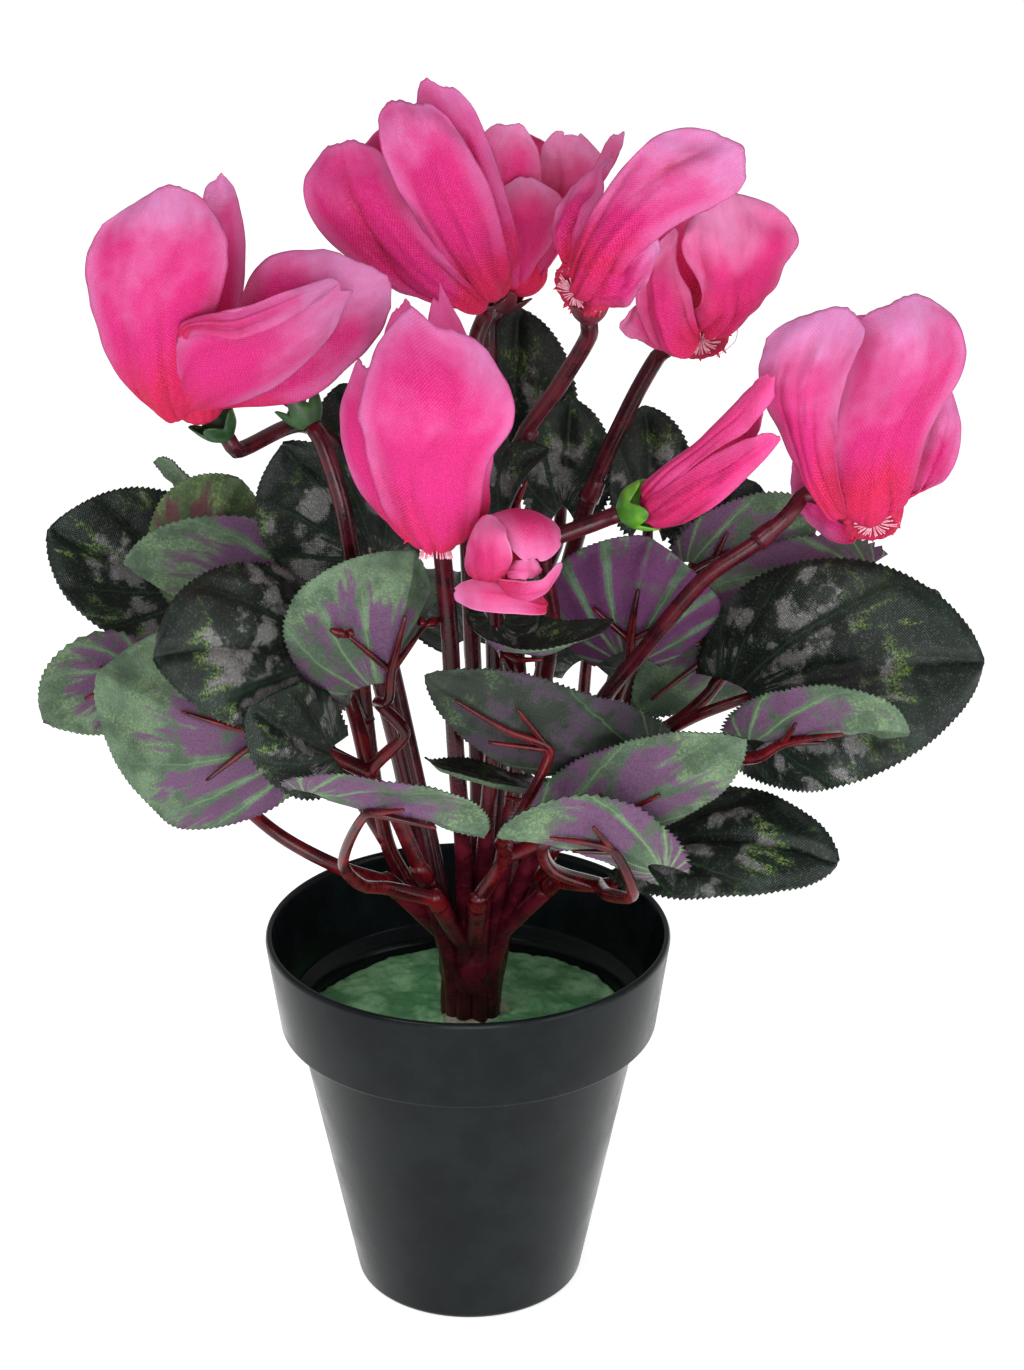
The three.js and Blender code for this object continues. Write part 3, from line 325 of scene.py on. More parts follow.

# %% [markdown]
# ### Dyed petal
# The petals are woven polyester too, dipped in dye: deep rose at the root, fading to lilac pink at
# the tip, and their folds are darkened with painted shade. One colour ramp would look printed, so
# clouds of 18 mm, spots of 5 mm and streaks of 2 mm break the fade, and threads of 0.4 mm lighten
# it. The raised threads of the weave get a painted highlight. The cloth is dull and thin, so light
# comes through it. Flowers differ: some took deeper dye, and buds are dyed evenly. The inner side
# is deeper crimson as painted shade, and two flowers that stand in shade get a lighter copy of the
# dye as painted light.

# %% Petal material
CLOUD, SPOT, STREAK, THREAD = 0.055, 1 / 5, 0.45, 2.4


def petal_material(name, root, middle, tip, deep_dye_and_fold_shade, cut_edge, pale_from):
    """Dyed cloth. The pale tip starts at the share pale_from of the petal's length."""
    made, node = material(name)
    cut = node("Attribute", out="Vector", attribute_name="cut")
    painted_shade = node("SeparateXYZ", node("Attribute", out="Vector", attribute_name="fan"))
    rim = node("Attribute", out="Vector", attribute_name="rim")
    to_rim, _, up = node("SeparateXYZ", rim, out=None)
    cloud = node("TexNoise", {"Vector": cut, "Scale": CLOUD, "Detail": 3, "Roughness": 0.5})
    spot = node("TexNoise", {"Vector": cut, "Scale": SPOT, "Detail": 4, "Roughness": 0.6})
    drawn_out = node("Mapping", {"Vector": cut, "Scale": (1.0, 0.4, 1.0)})
    streak = node("TexNoise", {"Vector": drawn_out, "Scale": STREAK, "Detail": 4, "Roughness": 0.6})
    thread = node("TexNoise", {"Vector": cut, "Scale": THREAD, "Detail": 2})
    height = weave_height(node, cut)
    # How far up the dye reaches: the share of the length, made uneven by clouds and spots.
    blur = node("Math", node("Math", cloud, 0.9, **TIMES), node("Math", spot, 0.14, **TIMES), **PLUS)
    reach = node("Math", up, node("Math", blur, 0.52, operation="SUBTRACT"), **PLUS)
    at_rim = node("MapRange", to_rim, 6.0, 0.5, 0.0, 0.6, **SOFT)
    at_rim = node("Math", at_rim, node("MapRange", reach, 0.25, 0.7, **SOFT), **TIMES)
    pale = node("MapRange", reach, pale_from, pale_from + 0.5, **SOFT)
    pale = node("Math", pale, at_rim, operation="MAXIMUM")
    streaked = node("MapRange", streak, 0.3, 0.7, 0.75, 1.0, **SOFT)
    wet = node("MapRange", streak, 0.52, 0.75, 0.0, 0.5, **SOFT)
    wet = node("Math", wet, node("MapRange", reach, 0.75, 0.2, **SOFT), **TIMES)
    dye = inked(node, colour(root), [
        (middle, node("MapRange", reach, 0.1, 0.55, **SOFT)),
        (tip, node("Math", pale, streaked, **TIMES)),
        # streaks of deeper dye near the root
        (deep_dye_and_fold_shade, wet),
        # painted shade in the bottoms of the folds, and in the pleats and dish of the core
        (deep_dye_and_fold_shade, node("Math", painted_shade, 0.7, **TIMES)),
        (cut_edge, node("MapRange", to_rim, 0.4, 0.1, 0.0, 0.45, **SOFT)),
        (THREAD_LIGHT, node("MapRange", thread, 0.4, 0.75, 0.0, 0.05, **SOFT)),
        # painted highlight on the raised threads of the weave
        (THREAD_LIGHT, node("MapRange", height, 0.1, 0.9, 0.0, 0.07, **SOFT)),
    ])
    bump = node("Bump", {"Height": height, **THREAD_RELIEF})
    cloth_side = node("BsdfPrincipled", {
        "Base Color": dye, "Roughness": 0.75, "Normal": bump, "Specular IOR Level": 0.15,
        "Sheen Weight": 0.03, "Sheen Roughness": 0.5, "Sheen Tint": colour("#F7B8DC"),
    })
    light_through = node("BsdfTranslucent", {"Color": dye, "Normal": bump})
    node("OutputMaterial", node("MixShader", 0.3, cloth_side, light_through), out=None)
    return made


# %% Petal dyes
# Root, middle, tip, deep dye and painted shade for the folds, cut edge, and where the pale tip starts.
DYES = {
    "petal_outer_side": ("#DA1050", "#D61A7E", "#E092CC", "#B0063A", "#C83C7C", 0.57),
    # A lighter copy of the outer dye: painted light for flowers that stand in the shade of others.
    "petal_painted_light": ("#F01C5C", "#EC2C8C", "#F09CD0", "#C40A48", "#D0508C", 0.52),
    "petal_deeper_dye": ("#DA0E4E", "#D81C80", "#E088C6", "#B4063A", "#C83C7C", 0.65),
    # The inner side is deeper crimson and less pale: painted shade for the inside of the flower.
    "petal_inner_side": ("#CC0C48", "#E61A6C", "#E464AC", "#A00636", "#C83C7C", 0.6),
    "bud": ("#DA1462", "#EC2A88", "#EC6CB0", "#A40A44", "#D04C90", 0.85),
    "rosebud": ("#C80E4C", "#DA2478", "#E88CC4", "#A80840", "#EE9CC4", 0.58),
    "throat": ("#E4245C", "#E62C64", "#E8447C", "#A00830", "#D85080", 0.9),
}
satin = {use: petal_material("dyed_satin_" + use, *dye) for use, dye in DYES.items()}

# %% [markdown]
# ### Moulded plastics, foam, glue and thread
# All of them get the same network: two tones that blend in soft mottles, a gloss that varies with
# them, and fine bumps a ninth as large. Only the numbers differ, and the comment on each says what
# they give the eye. Mottles are counted to a metre, so 120 of them are 8 mm each. The IOR is that
# of polyethylene, and polypropylene and nylon lie close to it.

# %% Plastic material
PLASTIC_IOR = 1.51


def plastic_material(name, dark, light, roughness, mottles, relief, depth=0.0, shine=0.5):
    made, node = material(name)
    place = node("TexCoord", out="Object")
    tone = node("TexNoise", {"Vector": place, "Scale": mottles, "Detail": 4, "Roughness": 0.6})
    fine = node("TexNoise", {"Vector": place, "Scale": mottles * 9, "Detail": 3})
    shade = inked(node, colour(dark), [(light, node("MapRange", tone, 0.35, 0.7, **SOFT))])
    skin = node("BsdfPrincipled", {
        "Base Color": shade, "IOR": PLASTIC_IOR, "Specular IOR Level": shine,
        "Roughness": node("MapRange", tone, 0.3, 0.7, roughness - 0.06, roughness + 0.08, **SOFT),
        "Normal": node("Bump", {"Height": fine, "Strength": relief, "Distance": 0.0003}),
        "Subsurface Weight": depth, "Subsurface Scale": 0.001,
    })
    node("OutputMaterial", skin, out=None)
    return made


# Polyethylene is waxy, so the dark maroon stems and the redder stalks have a soft, broken shine.
stem_plastic = plastic_material(
    "moulded_polyethylene_stem", "#2C0610", "#540C1C", 0.26, 120, 0.25, shine=0.3)
spray_plastic = plastic_material(
    "moulded_polyethylene_stalk", "#30040A", "#640A14", 0.24, 120, 0.2, shine=0.3)
# The calyces are softer and duller: fresh green, a darker green that is painted shade for
# calyces in shadow, and maroon where they are hidden.
calyx_plastic = plastic_material("moulded_polyethylene_calyx", "#3E7A1C", "#74B032", 0.45, 150, 0.3)
calyx_painted_shade = plastic_material("moulded_polyethylene_calyx_painted_shade", "#143814", "#2C5824", 0.45, 150, 0.3)
calyx_hidden = plastic_material("moulded_polyethylene_maroon_calyx", "#4A0F1E", "#74182C", 0.42, 120, 0.25)
# The pot came smooth out of a polished mould: nearly black, with long clean reflections.
pot_plastic = plastic_material("moulded_polypropylene_pot", "#0E1213", "#151A1C", 0.24, 60, 0.06, shine=0.12)
# Floral foam is dull, and its cut cells make it look grainy.
foam_plastic = plastic_material("cut_floral_foam", "#4C8A58", "#98CC98", 0.9, 90, 0.9)
# Hot glue is milky, and some light goes into it. Nylon thread is pale, with dye that ran into it.
glue = plastic_material("hot_melt_glue", "#8A8A76", "#C6C6AE", 0.3, 200, 0.4, depth=0.2)
thread_nylon = plastic_material("twisted_nylon_thread", "#DC7C98", "#F6C4D4", 0.45, 900, 0.3)
print(len(bpy.data.materials), "materials")

# %% [markdown]
# ## Cloth
# A leaf or petal is cloth that was stiffened and pressed in a hot mould, so it holds its shape. It
# could be a plane with a Solidify modifier, or draped by a simulation. Its pressed shape is worked
# out instead: a grid of points, doubled to give the thickness and closed all round its edge.

# %% Cloth
CLOTH_MM = 0.35
SEED_SHIFT_MM = 13.7


def cloth(batch, grid, finishes, cut, fan, rim):
    """Adds a grid of points as cloth. The facts cut, fan and rim are three grids of values each."""
    rows, columns = grid.shape[:2]
    normal = unit(np.cross(np.gradient(grid, axis=1), np.gradient(grid, axis=0)))
    top, low = grid + normal * CLOTH_MM / 2, grid - normal * CLOTH_MM / 2
    n = rows * columns
    index = np.arange(n).reshape(rows, columns)
    a, b, c, d = index[:-1, :-1], index[:-1, 1:], index[1:, 1:], index[1:, :-1]
    upper = np.stack([a, b, c, d], axis=-1).reshape(-1, 4)
    lower = np.stack([a, d, c, b], axis=-1).reshape(-1, 4) + n
    edge = np.concatenate([index[:, 0], index[-1, 1:], index[-2::-1, -1], index[0, -2:0:-1]])
    after = np.roll(edge, -1)
    strip = np.stack([edge, after, after + n, edge + n], axis=-1)
    marks = [finishes[0]] * len(upper) + [finishes[1]] * len(lower) + [finishes[0]] * len(strip)
    facts = {}
    for key, axes in {"cut": cut, "fan": fan, "rim": rim}.items():
        flat = np.stack(np.broadcast_arrays(*axes), axis=-1).reshape(-1, 3)
        facts[key] = np.concatenate([flat, flat])
    points = np.concatenate([top.reshape(-1, 3), low.reshape(-1, 3)])
    batch.add(points, np.concatenate([upper, lower, strip]).tolist(), marks, **facts)


# %% [markdown]
# ## Leaves
# A leaf follows a parabola through three points, in millimetres. These are the same numbers as in
# the CAD model, so the cloth lies exactly where the plain blade lay. It has a width and a side that
# its face turns to, curls across, and may be creased along the middle. `at` is the share of its
# length where the stalk lands under it.

# %% Where the leaves are
def blade(root, middle, tip, width, face, curl=0.35, crease=0.15, at=0.12):
    line = [np.array(point, float) for point in (root, middle, tip)]
    return {"line": line, "width": width, "face": np.array(face, float),
            "curl": curl, "crease": crease, "at": at}


LEAVES = {
    "leaf_01": blade([-85, 42, 207], [-104, 38, 216], [-122, 34, 228], 50, [0.1, -0.8, 0.6]),
    "leaf_02": blade([-79, 64, 206], [-85, 70, 221], [-95, 76, 234], 34, [0.9, 0.3, 0.2]),
    "leaf_03": blade([-70, 24, 208], [-72, 18, 230], [-65, 20, 248], 46, [0.1, 1, -0.2]),
    "leaf_04": blade([-44, 10, 216], [-69, 4, 224], [-98, 8, 226], 42, [0, 0.9, 0.4]),
    "leaf_05": blade([-50, -34, 192], [-75, -46, 203], [-102, -26, 208], 78, [0, 0.9, -0.3], curl=0.7),
    "leaf_06": blade([-41, -30, 214], [-62, -53, 226], [-83, -58, 225], 47, [0.1, -0.8, 0.5], curl=-0.3),
    "leaf_07": blade(
        [-22, -46, 213], [-17, -53, 234], [-13, -46, 251], 61, [-0.5, 0.85, -0.1], curl=0.3, crease=0.5),
    "leaf_08": blade([-37, -46, 192], [-47, -59, 203], [-57, -66, 214], 31, [0.1, -0.85, 0.5], curl=-0.3),
    "leaf_09": blade([-36, -80, 193], [-14, -87, 192], [6, -79, 182], 31, [0, 0.63, 0.8], curl=0.4, at=0.25),
    "leaf_10": blade(
        [46, -46, 189], [20, -64, 203], [-10, -68, 224], 36, [0, 0.95, 0.25], curl=0.5, at=0.45),
    "leaf_11": blade([41, -22, 166], [14, -36, 175], [-11, -44, 189], 26, [0.1, 0.2, 1]),
    "leaf_12": blade([26, -55, 172], [51, -70, 190], [75, -76, 209], 34, [-0.1, 1, 0.1], curl=0.5),
    "leaf_13": blade([50, -70, 169], [30, -81, 183], [9, -84, 184], 26, [0, 0.9, 0.4], curl=0.5, at=0.25),
    "leaf_14": blade([52, -39, 160], [77, -51, 167], [103, -55, 162], 40, [0, -0.5, 0.9], curl=-0.4),
    "leaf_15": blade([80, -18, 197], [109, -34, 212], [144, -30, 212], 64, [0, -0.85, 0.5], curl=-0.25),
    "leaf_16": blade([110, 10, 218], [79, 4, 206], [48, -3, 185], 40, [-0.1, 1, -0.2], at=0.5),
    "leaf_17": blade([83, -46, 195], [101, -60, 205], [120, -64, 206], 32, [0, 0.8, 0.6], curl=0.5),
    "leaf_18": blade([46, -12, 208], [48, -16, 227], [52, -10, 241], 52, [0, 1, -0.3]),
    "leaf_19": blade([9, -46, 228], [19, -58, 226], [40, -56, 235], 26, [0.1, -0.1, 1], curl=0.8),
    "leaf_20": blade([53, 31, 233], [53, 31, 250], [51, 35, 265], 26, [0, -0.9, 0.5]),
    "leaf_21": blade([69, 37, 219], [78, 39, 230], [85, 41, 239], 31, [0.1, -0.8, 0.6]),
    "leaf_22": blade([67, 19, 222], [84, 18, 231], [103, 19, 239], 26, [0, 1, 0.1]),
    "leaf_23": blade([13, 50, 243], [14, 47, 267], [15, 49, 290], 40, [0, -0.9, 0.5]),
    "leaf_24": blade([28, 36, 234], [29, 34, 252], [30, 36, 267], 28, [0.1, -0.9, 0.5]),
    "leaf_25": blade([11, -9, 244], [15, -12, 258], [23, -11, 268], 26, [-0.5, -0.5, 0.7], crease=0.5),
    "leaf_26": blade([-28, 6, 232], [-41, 0, 252], [-51, -6, 267], 46, [-0.4, -0.8, 0.5], crease=0.3),
    "leaf_27": blade([-31, 34, 246], [-33, 32, 260], [-36, 34, 272], 28, [0.1, -0.9, 0.5]),
    "leaf_28": blade([-97, 14, 187], [-110, 10, 185], [-124, 10, 177], 34, [0, 1, 0]),
    "leaf_29": blade([111, 30, 194], [125, 40, 199], [139, 48, 203], 44, [0, -0.1, 1]),
    "leaf_30": blade([35, 32, 187], [39, 30, 198], [48, 32, 206], 40, [0, -0.8, 0.6]),
    "leaf_31": blade([0, 60, 182], [-2, 85, 185], [-3, 108, 186], 50, [0, 0.2, 1]),
}
print(len(LEAVES), "leaves")

# %% [markdown]
# The veins of a leaf fan out from the stalk, and the cloth swells a little between them. The margin
# is cut with pinking shears. Small teeth could be a texture, but they show against the light, so
# they are cut into the mesh: rows of points are spaced evenly along the cut edge, two to a tooth.

# %% Leaf surface
LEAF_WAVE_MM = 1.2
SECTION_STEPS = 12
WIDEST_AT = 0.36


def leaf_share(t):
    """Half width of a leaf at share t of its length, where 1 is the widest."""
    swell = 0.5 + 0.5 * np.sin((math.pi / 2) * np.clip(t / WIDEST_AT, 0, 1)) ** 0.8
    rest = np.clip((t - WIDEST_AT) / (1 - WIDEST_AT), 0, 1)
    taper = np.maximum((1 - rest ** 2.2) ** 0.72, 0.03)
    return np.where(t < WIDEST_AT, swell - 0.14 * np.exp(-t / 0.05), taper)


def swept_back(t, v):
    """The base is heart shaped, so points near its edge lie further back along the leaf."""
    return t - 0.2 * np.abs(v) ** 1.5 * (1 - t) ** 2


def midline(spec, t):
    """Point of the midline at t, and its own directions: along, up and aside."""
    root, middle, tip = spec["line"]
    pull = 2 * middle - (root + tip) / 2
    s = np.asarray(t, float)[..., None]
    place = root * (1 - s) ** 2 + 2 * pull * s * (1 - s) + tip * s ** 2
    along = unit((pull - root) * (1 - s) + (tip - pull) * s)
    up = unit(spec["face"] - along * (along @ spec["face"])[..., None])
    return place, along, up, np.cross(along, up)


def section(spec, reach):
    """Where a point lands across the leaf when the leaf curls and creases."""
    half = np.abs(reach)
    across, lift = np.zeros_like(half), np.zeros_like(half)
    for i in range(SECTION_STEPS):
        turn = spec["crease"] + spec["curl"] * half * (i + 0.5) / SECTION_STEPS
        across += np.cos(turn) * half / SECTION_STEPS
        lift += np.sin(turn) * half / SECTION_STEPS
    return np.sign(reach) * across * spec["width"] / 2, lift * spec["width"] / 2


def leaf_point(spec, t, v, bulge=0.0):
    """Point of a leaf at share t of its length and share v across, from -1 to 1."""
    place, _, up, side = midline(spec, swept_back(t, v))
    ripple = LEAF_WAVE_MM * v * v * t * np.sin(7 * t + 2 * np.sign(v) + spec["width"])
    across, lift = section(spec, v * leaf_share(t))
    return place + side * across[..., None] + up * (lift + ripple + bulge)[..., None]


# %% Veins, swelling and pinked edge
VEIN_STEP = math.radians(27)
# How high the cloth swells between veins, how deep the middle vein lies, and two sizes of wrinkle.
SWELL_MM, VALLEY_MM, WRINKLE_MM, CRUMPLE_MM = 1.5, 0.5, 1.1, 0.3
TOOTH_MM, TOOTH_DEPTH_MM = 1.8, 0.38
LEAF_COLUMNS = 27
# Close steps along a leaf, for measuring it.
FINE = np.linspace(0, 1, 400)


def pinked_rows(spec):
    """Shares of the length for the rows of points, evenly along the cut edge, two to a tooth."""
    edge = leaf_point(spec, FINE, np.ones_like(FINE))
    walk = np.concatenate([[0], np.cumsum(np.linalg.norm(np.diff(edge, axis=0), axis=1))])
    rows = 2 * round(walk[-1] / TOOTH_MM)
    even = np.interp(np.linspace(0, walk[-1], rows + 1), walk, FINE)
    return 0.85 * even + 0.15 * np.linspace(0, 1, rows + 1)


def veins(x, y, length):
    """How many veins up a point is, the space between two veins there, and how far out it is."""
    angle, away = np.arctan2(np.abs(x), y + 0.12 * length), np.hypot(x, y + 0.12 * length)
    reach = away / (1.1 * length) + 0.18 * (angle / 1.6) ** 2
    return angle / (1 - 0.2 * np.clip(reach, 0, 1.2)) / VEIN_STEP, away * VEIN_STEP, reach


def leaf(batch, spec, seed):
    rows = pinked_rows(spec)
    t, v = np.meshgrid(rows, np.linspace(-1, 1, LEAF_COLUMNS), indexing="ij")
    length = length_of(midline(spec, FINE)[0])
    half_width = leaf_share(t) * spec["width"] / 2
    x, y = v * half_width, swept_back(t, v) * length
    to_rim = np.minimum(half_width * (1 - np.abs(v)), length * (1 - t) * 1.2)
    fan, gap, reach = veins(x, y, length)
    beside = np.abs(fan - np.round(fan)) * gap
    bulge = SWELL_MM * smooth(0, 4.5, beside) * smooth(0, 6, to_rim) * smooth(0.05, 0.3, reach)
    bulge -= VALLEY_MM * np.exp(-x ** 2) * smooth(0, 6, to_rim)
    flat = np.stack([x, y, np.full_like(x, seed * SEED_SHIFT_MM)], axis=-1)
    bulge = bulge + WRINKLE_MM * noise_grid(flat, 0.09, seed) + CRUMPLE_MM * noise_grid(flat, 0.3, seed)
    at_edge = (np.abs(v) > 0.999) * (t > 0.02) * (t < 0.985)
    in_out = np.where(np.arange(len(rows)) % 2 == 1, 1.0, -1.0)[:, None]
    tooth = 1 + in_out * (TOOTH_DEPTH_MM / np.maximum(half_width, 3.0) * at_edge)
    grid = leaf_point(spec, t, v * tooth, bulge)
    cloth(batch, grid, (0, 1), (x, y, seed * SEED_SHIFT_MM), (fan, gap, reach), (to_rim, np.abs(v), t))


# %% Leaves
OWN_UNDERSIDE = {"leaf_03": leaf_red, "leaf_18": leaf_purple, "leaf_10": leaf_under_painted_shade}
for number, (name, spec) in enumerate(LEAVES.items()):
    batch = Batch()
    leaf(batch, spec, number + 1)
    batch.piece(name + "_cloth", [name], "leaf_fabric", [leaf_top, OWN_UNDERSIDE.get(name, leaf_under)])
print("leaves made")

# %% [markdown]
# ## Rods: stems, stalks and ribs
# A moulded stem is a round rod along a smooth curve. A curve object with a bevel would give a plain
# tube. The rod is made ring by ring instead, because its radius changes along the way, its ends are
# rounded, and two raised lines along it are the seams left by the two halves of the mould.

# %% Smooth curve through points
def through(points, radii, step=2.5):
    """A smooth curve through the points, as many points with a radius each."""
    points, radii = np.array(points, float), np.array(radii, float)
    padded = np.concatenate([[2 * points[0] - points[1]], points, [2 * points[-1] - points[-2]]])
    line, size = [], []
    for i in range(len(points) - 1):
        p0, p1, p2, p3 = padded[i:i + 4]
        span = np.linalg.norm(p2 - p1)
        pieces = max(2, math.ceil(span / step))
        m1, m2 = unit(p2 - p0) * span, unit(p3 - p1) * span
        # At a sharp bend the curve is held back, so that it doesn't swing out.
        m1 = m1 * (0.4 + 0.6 * max(0, unit(p1 - p0) @ unit(p2 - p1)))
        m2 = m2 * (0.4 + 0.6 * max(0, unit(p2 - p1) @ unit(p3 - p2)))
        for k in range(pieces):
            s = k / pieces
            line.append(hermite(p1, p2, m1, m2, s))
            size.append(radii[i] + (radii[i + 1] - radii[i]) * s)
    return np.array(line + [points[-1]]), np.array(size + [radii[-1]])


# %% Rods
# A rod ends half a radius past its last point, and both of its ends are drawn in.
END_LENGTH, START_SHRINK, END_SHRINK = 0.5, 0.6, 0.55


def rod(batch, points, radii, sides=12, seam=0.07, finish=0, seed=0.0, step=2.5):
    line, size = through(points, radii, step)
    tangents = unit(np.gradient(line, axis=0))
    helper = np.array([0, 1, 0]) if abs(tangents[0][1]) < 0.9 else np.array([1, 0, 0])
    side = np.cross(helper, tangents[0])
    line = np.concatenate([[line[0]], line, [line[-1] + tangents[-1] * size[-1] * END_LENGTH]])
    size = np.concatenate([[size[0] * START_SHRINK], size, [size[-1] * END_SHRINK]])
    tangents = np.concatenate([[tangents[0]], tangents, [tangents[-1]]])
    angles = np.arange(sides) * 2 * math.pi / sides
    bulge = np.ones(sides)
    bulge[0] = bulge[sides // 2] = 1 + seam
    rings, facts, walked = [], [], 0.0
    for i, (place, tangent) in enumerate(zip(line, tangents)):
        side = side - tangent * (side @ tangent)
        side = side / np.linalg.norm(side)
        other = np.cross(tangent, side)
        if i:
            walked += np.linalg.norm(place - line[i - 1])
        ring = np.outer(np.cos(angles) * bulge, side) + np.outer(np.sin(angles) * bulge, other)
        rings.append(place + ring * size[i])
        facts.append(np.stack([angles, np.full(sides, walked), np.full(sides, seed)], axis=-1))
    faces, ends = band(len(rings), sides), len(rings) * sides
    for k in range(sides):
        m = (k + 1) % sides
        faces.append([ends, m, k])
        faces.append([ends + 1, ends - sides + k, ends - sides + m])
    facts = np.concatenate(facts + [[[0, 0, seed]], [[0, walked, seed]]])
    batch.add(np.concatenate(rings + [line[:1], line[-1:]]), faces, finish, cut=facts)


# %% Turned shapes
def level_ring(x, y, radius, z, angles):
    ring = [x + radius * np.cos(angles), y + radius * np.sin(angles), np.full(len(angles), float(z))]
    return np.stack(ring, axis=-1)


def turned(batch, profile, x, y, sides, finish=0, ripple=lambda angles: 1.0):
    """A profile of radius and height turned about an upright axis, out of round by the ripple."""
    angles = np.arange(sides) * 2 * math.pi / sides
    rings = [level_ring(x, y, r * ripple(angles), z, angles) for r, z in profile]
    batch.add(np.concatenate(rings), band(len(profile), sides), finish)


# %% [markdown]
# ## The bush of flower stems
# On the real plant ten flower stems grow out of one moulded trunk, which looks like a tight bundle
# of stems with grooves between them. A short stub for each leaf spray stands out of its top. The
# trunk could be one turned shape with grooves cut in. Here the stems themselves are carried on down
# inside it, so each groove runs on into its own two stems.

# %% Where the stems are
STEMS = {
    "bloom_a": [[-5, 5, 102], [-9, 5, 128], [-15, 8, 159], [-24, 18, 199], [-33, 26, 233],
                [-38, 22, 257], [-47, 6, 269], [-64, -18, 272]],
    "bloom_b": [[1, 11, 102], [3, 11, 151], [1, 11, 215], [0, 14, 259], [3, 18, 290], [6, 14, 303]],
    "bloom_c": [[4, 14, 102], [7, 23, 146], [9, 32, 206], [7, 40, 259], [8, 42, 290]],
    "bloom_d": [[5, 9, 102], [9, 8, 152], [11, 6, 216], [15, 2, 263], [26, -2, 283], [34, -6, 298]],
    "bloom_e": [[9, 10, 102], [15, 16, 149], [24, 22, 197], [35, 24, 240], [46, 22, 268], [54, 21, 284]],
    "bloom_f": [[7, 2, 102], [21, -6, 146], [38, -18, 194], [49, -24, 212], [66, -28, 236],
                [80, -29, 247], [88, -28, 254], [95, -25, 259]],
    "bloom_g": [[-1, 0, 102], [-1, -12, 142], [-3, -26, 186], [-4, -38, 222], [-5, -48, 246]],
    "bud_h": [[3, 0, 102], [5, -12, 143], [8, -24, 189], [8, -31, 222], [7, -41, 243], [7, -50, 250]],
    "bud_i": [[6, 2, 102], [11, -4, 142], [20, -12, 187], [24, -20, 220], [22, -24, 244], [38, -22, 251]],
    "bud_j": [[-5, 1, 102], [-12, -6, 133], [-19, -14, 175], [-26, -20, 211], [-31, -22, 239],
              [-34, -22, 257], [-40, -18, 274]],
}
CORES = {
    "bloom_a": [-72, -22, 286], "bloom_b": [6, 6, 312], "bloom_c": [16, 42, 303],
    "bloom_d": [34, -12, 316], "bloom_e": [65, 12, 296], "bloom_f": [111, -28, 257],
    "bloom_g": [-7, -62, 266], "bud_h": [12, -66, 255], "bud_i": [52, -24, 257],
    "bud_j": [-47, -12, 284],
}
STUBS = {
    "spray_left_low": [-20, -4, 128], "spray_left": [-12, -16, 138], "spray_front_left": [-8, -17, 130],
    "spray_front": [3, -18, 130], "spray_right_low": [23, -8, 131], "spray_right": [18, 2, 129],
    "spray_back_right": [20, 20, 122], "spray_back": [9, 24, 117], "spray_back_left": [-15, 6, 122],
}
HUBS = {"bud_h": 8, "bud_i": 5, "bud_j": 5}
USUAL_HUB = 9
JOINTED = ["bloom_d", "bloom_e", "bloom_f"]
OWN_CALYX = ["bloom_a", "bud_i", "bud_j"]
STEMS, CORES, STUBS = (
    {name: np.array(places, float) for name, places in table.items()} for table in (STEMS, CORES, STUBS))

# %% Bush of stems
TRUNK = np.array([1.0, 6.0])
TRUNK_PROFILE = [(0, 58), (6.8, 58), (7.2, 88), (9.4, 97), (9.4, 106), (6.4, 111), (0, 112.5)]
STUB_FROM, STUB_OUT = 101.0, 4.2
STEM_RADIUS, ROOT_EXTRA = 2.3, 0.7
SLEEVE_RADII = [2.9, 2.8, 2.4]
CUP, SEAT = 5.0, 0.35


def rear_of(name):
    """The way from the middle of a flower to its stem."""
    return unit(STEMS[name][-1] - CORES[name])


def cup_at(name):
    """Where the calyx of a flower begins. A calyx of its own keeps off the petals by a seat."""
    return HUBS.get(name, USUAL_HUB) + (SEAT if name in OWN_CALYX else -1.0)


def stem_route(name):
    rear = rear_of(name)
    end = CORES[name] + rear * (cup_at(name) + CUP + SEAT)
    return [*STEMS[name][:-1], end + rear * CUP, end]


def stub_start(stub):
    axis = np.array([*TRUNK, STUB_FROM])
    outward = unit(stub - axis)
    return outward, axis + outward * STUB_OUT


batch = Batch()
turned(batch, TRUNK_PROFILE, *TRUNK, 48, ripple=lambda a: 1 + 0.05 * np.cos(a * 10))
for number, name in enumerate(STEMS):
    route = stem_route(name)
    turn = math.atan2(route[0][1] - TRUNK[1], route[0][0] - TRUNK[0])
    out = np.array([math.cos(turn), math.sin(turn)])
    foot, knee = np.array([*(TRUNK + 6.3 * out), 60.0]), np.array([*(TRUNK + 6.6 * out), 88.0])
    radii = [STEM_RADIUS + ROOT_EXTRA * float(smooth(150, 95, point[2])) for point in route]
    rod(batch, [foot, knee] + route, [2.6, 2.8] + radii, 14, seed=number)
    if name in JOINTED:
        low, way = route[-4], unit(route[-3] - route[-4])
        rod(batch, [low, low + way * 3.5, low + way * 7], SLEEVE_RADII, 14, seed=number)
for stub in STUBS.values():
    rod(batch, [stub_start(stub)[1], stub], [2.9, 2.7], 14)
batch.piece("stem_bush_moulding", ["stem_bush"], "stem_plastic", [stem_plastic])
print("bush of stems made")

# %% [markdown]
# ## Leaf sprays
# Each spray is one moulding that plugs onto its stub with a collar. A stalk runs up to every leaf
# and on under it as the middle rib, where two side ribs spread like a bird's foot. The ribs follow
# the underside of the leaf, so they are worked out from the leaf and not drawn. On one leaf, small
# oval pads left by the mould sit at the ends of the side ribs.

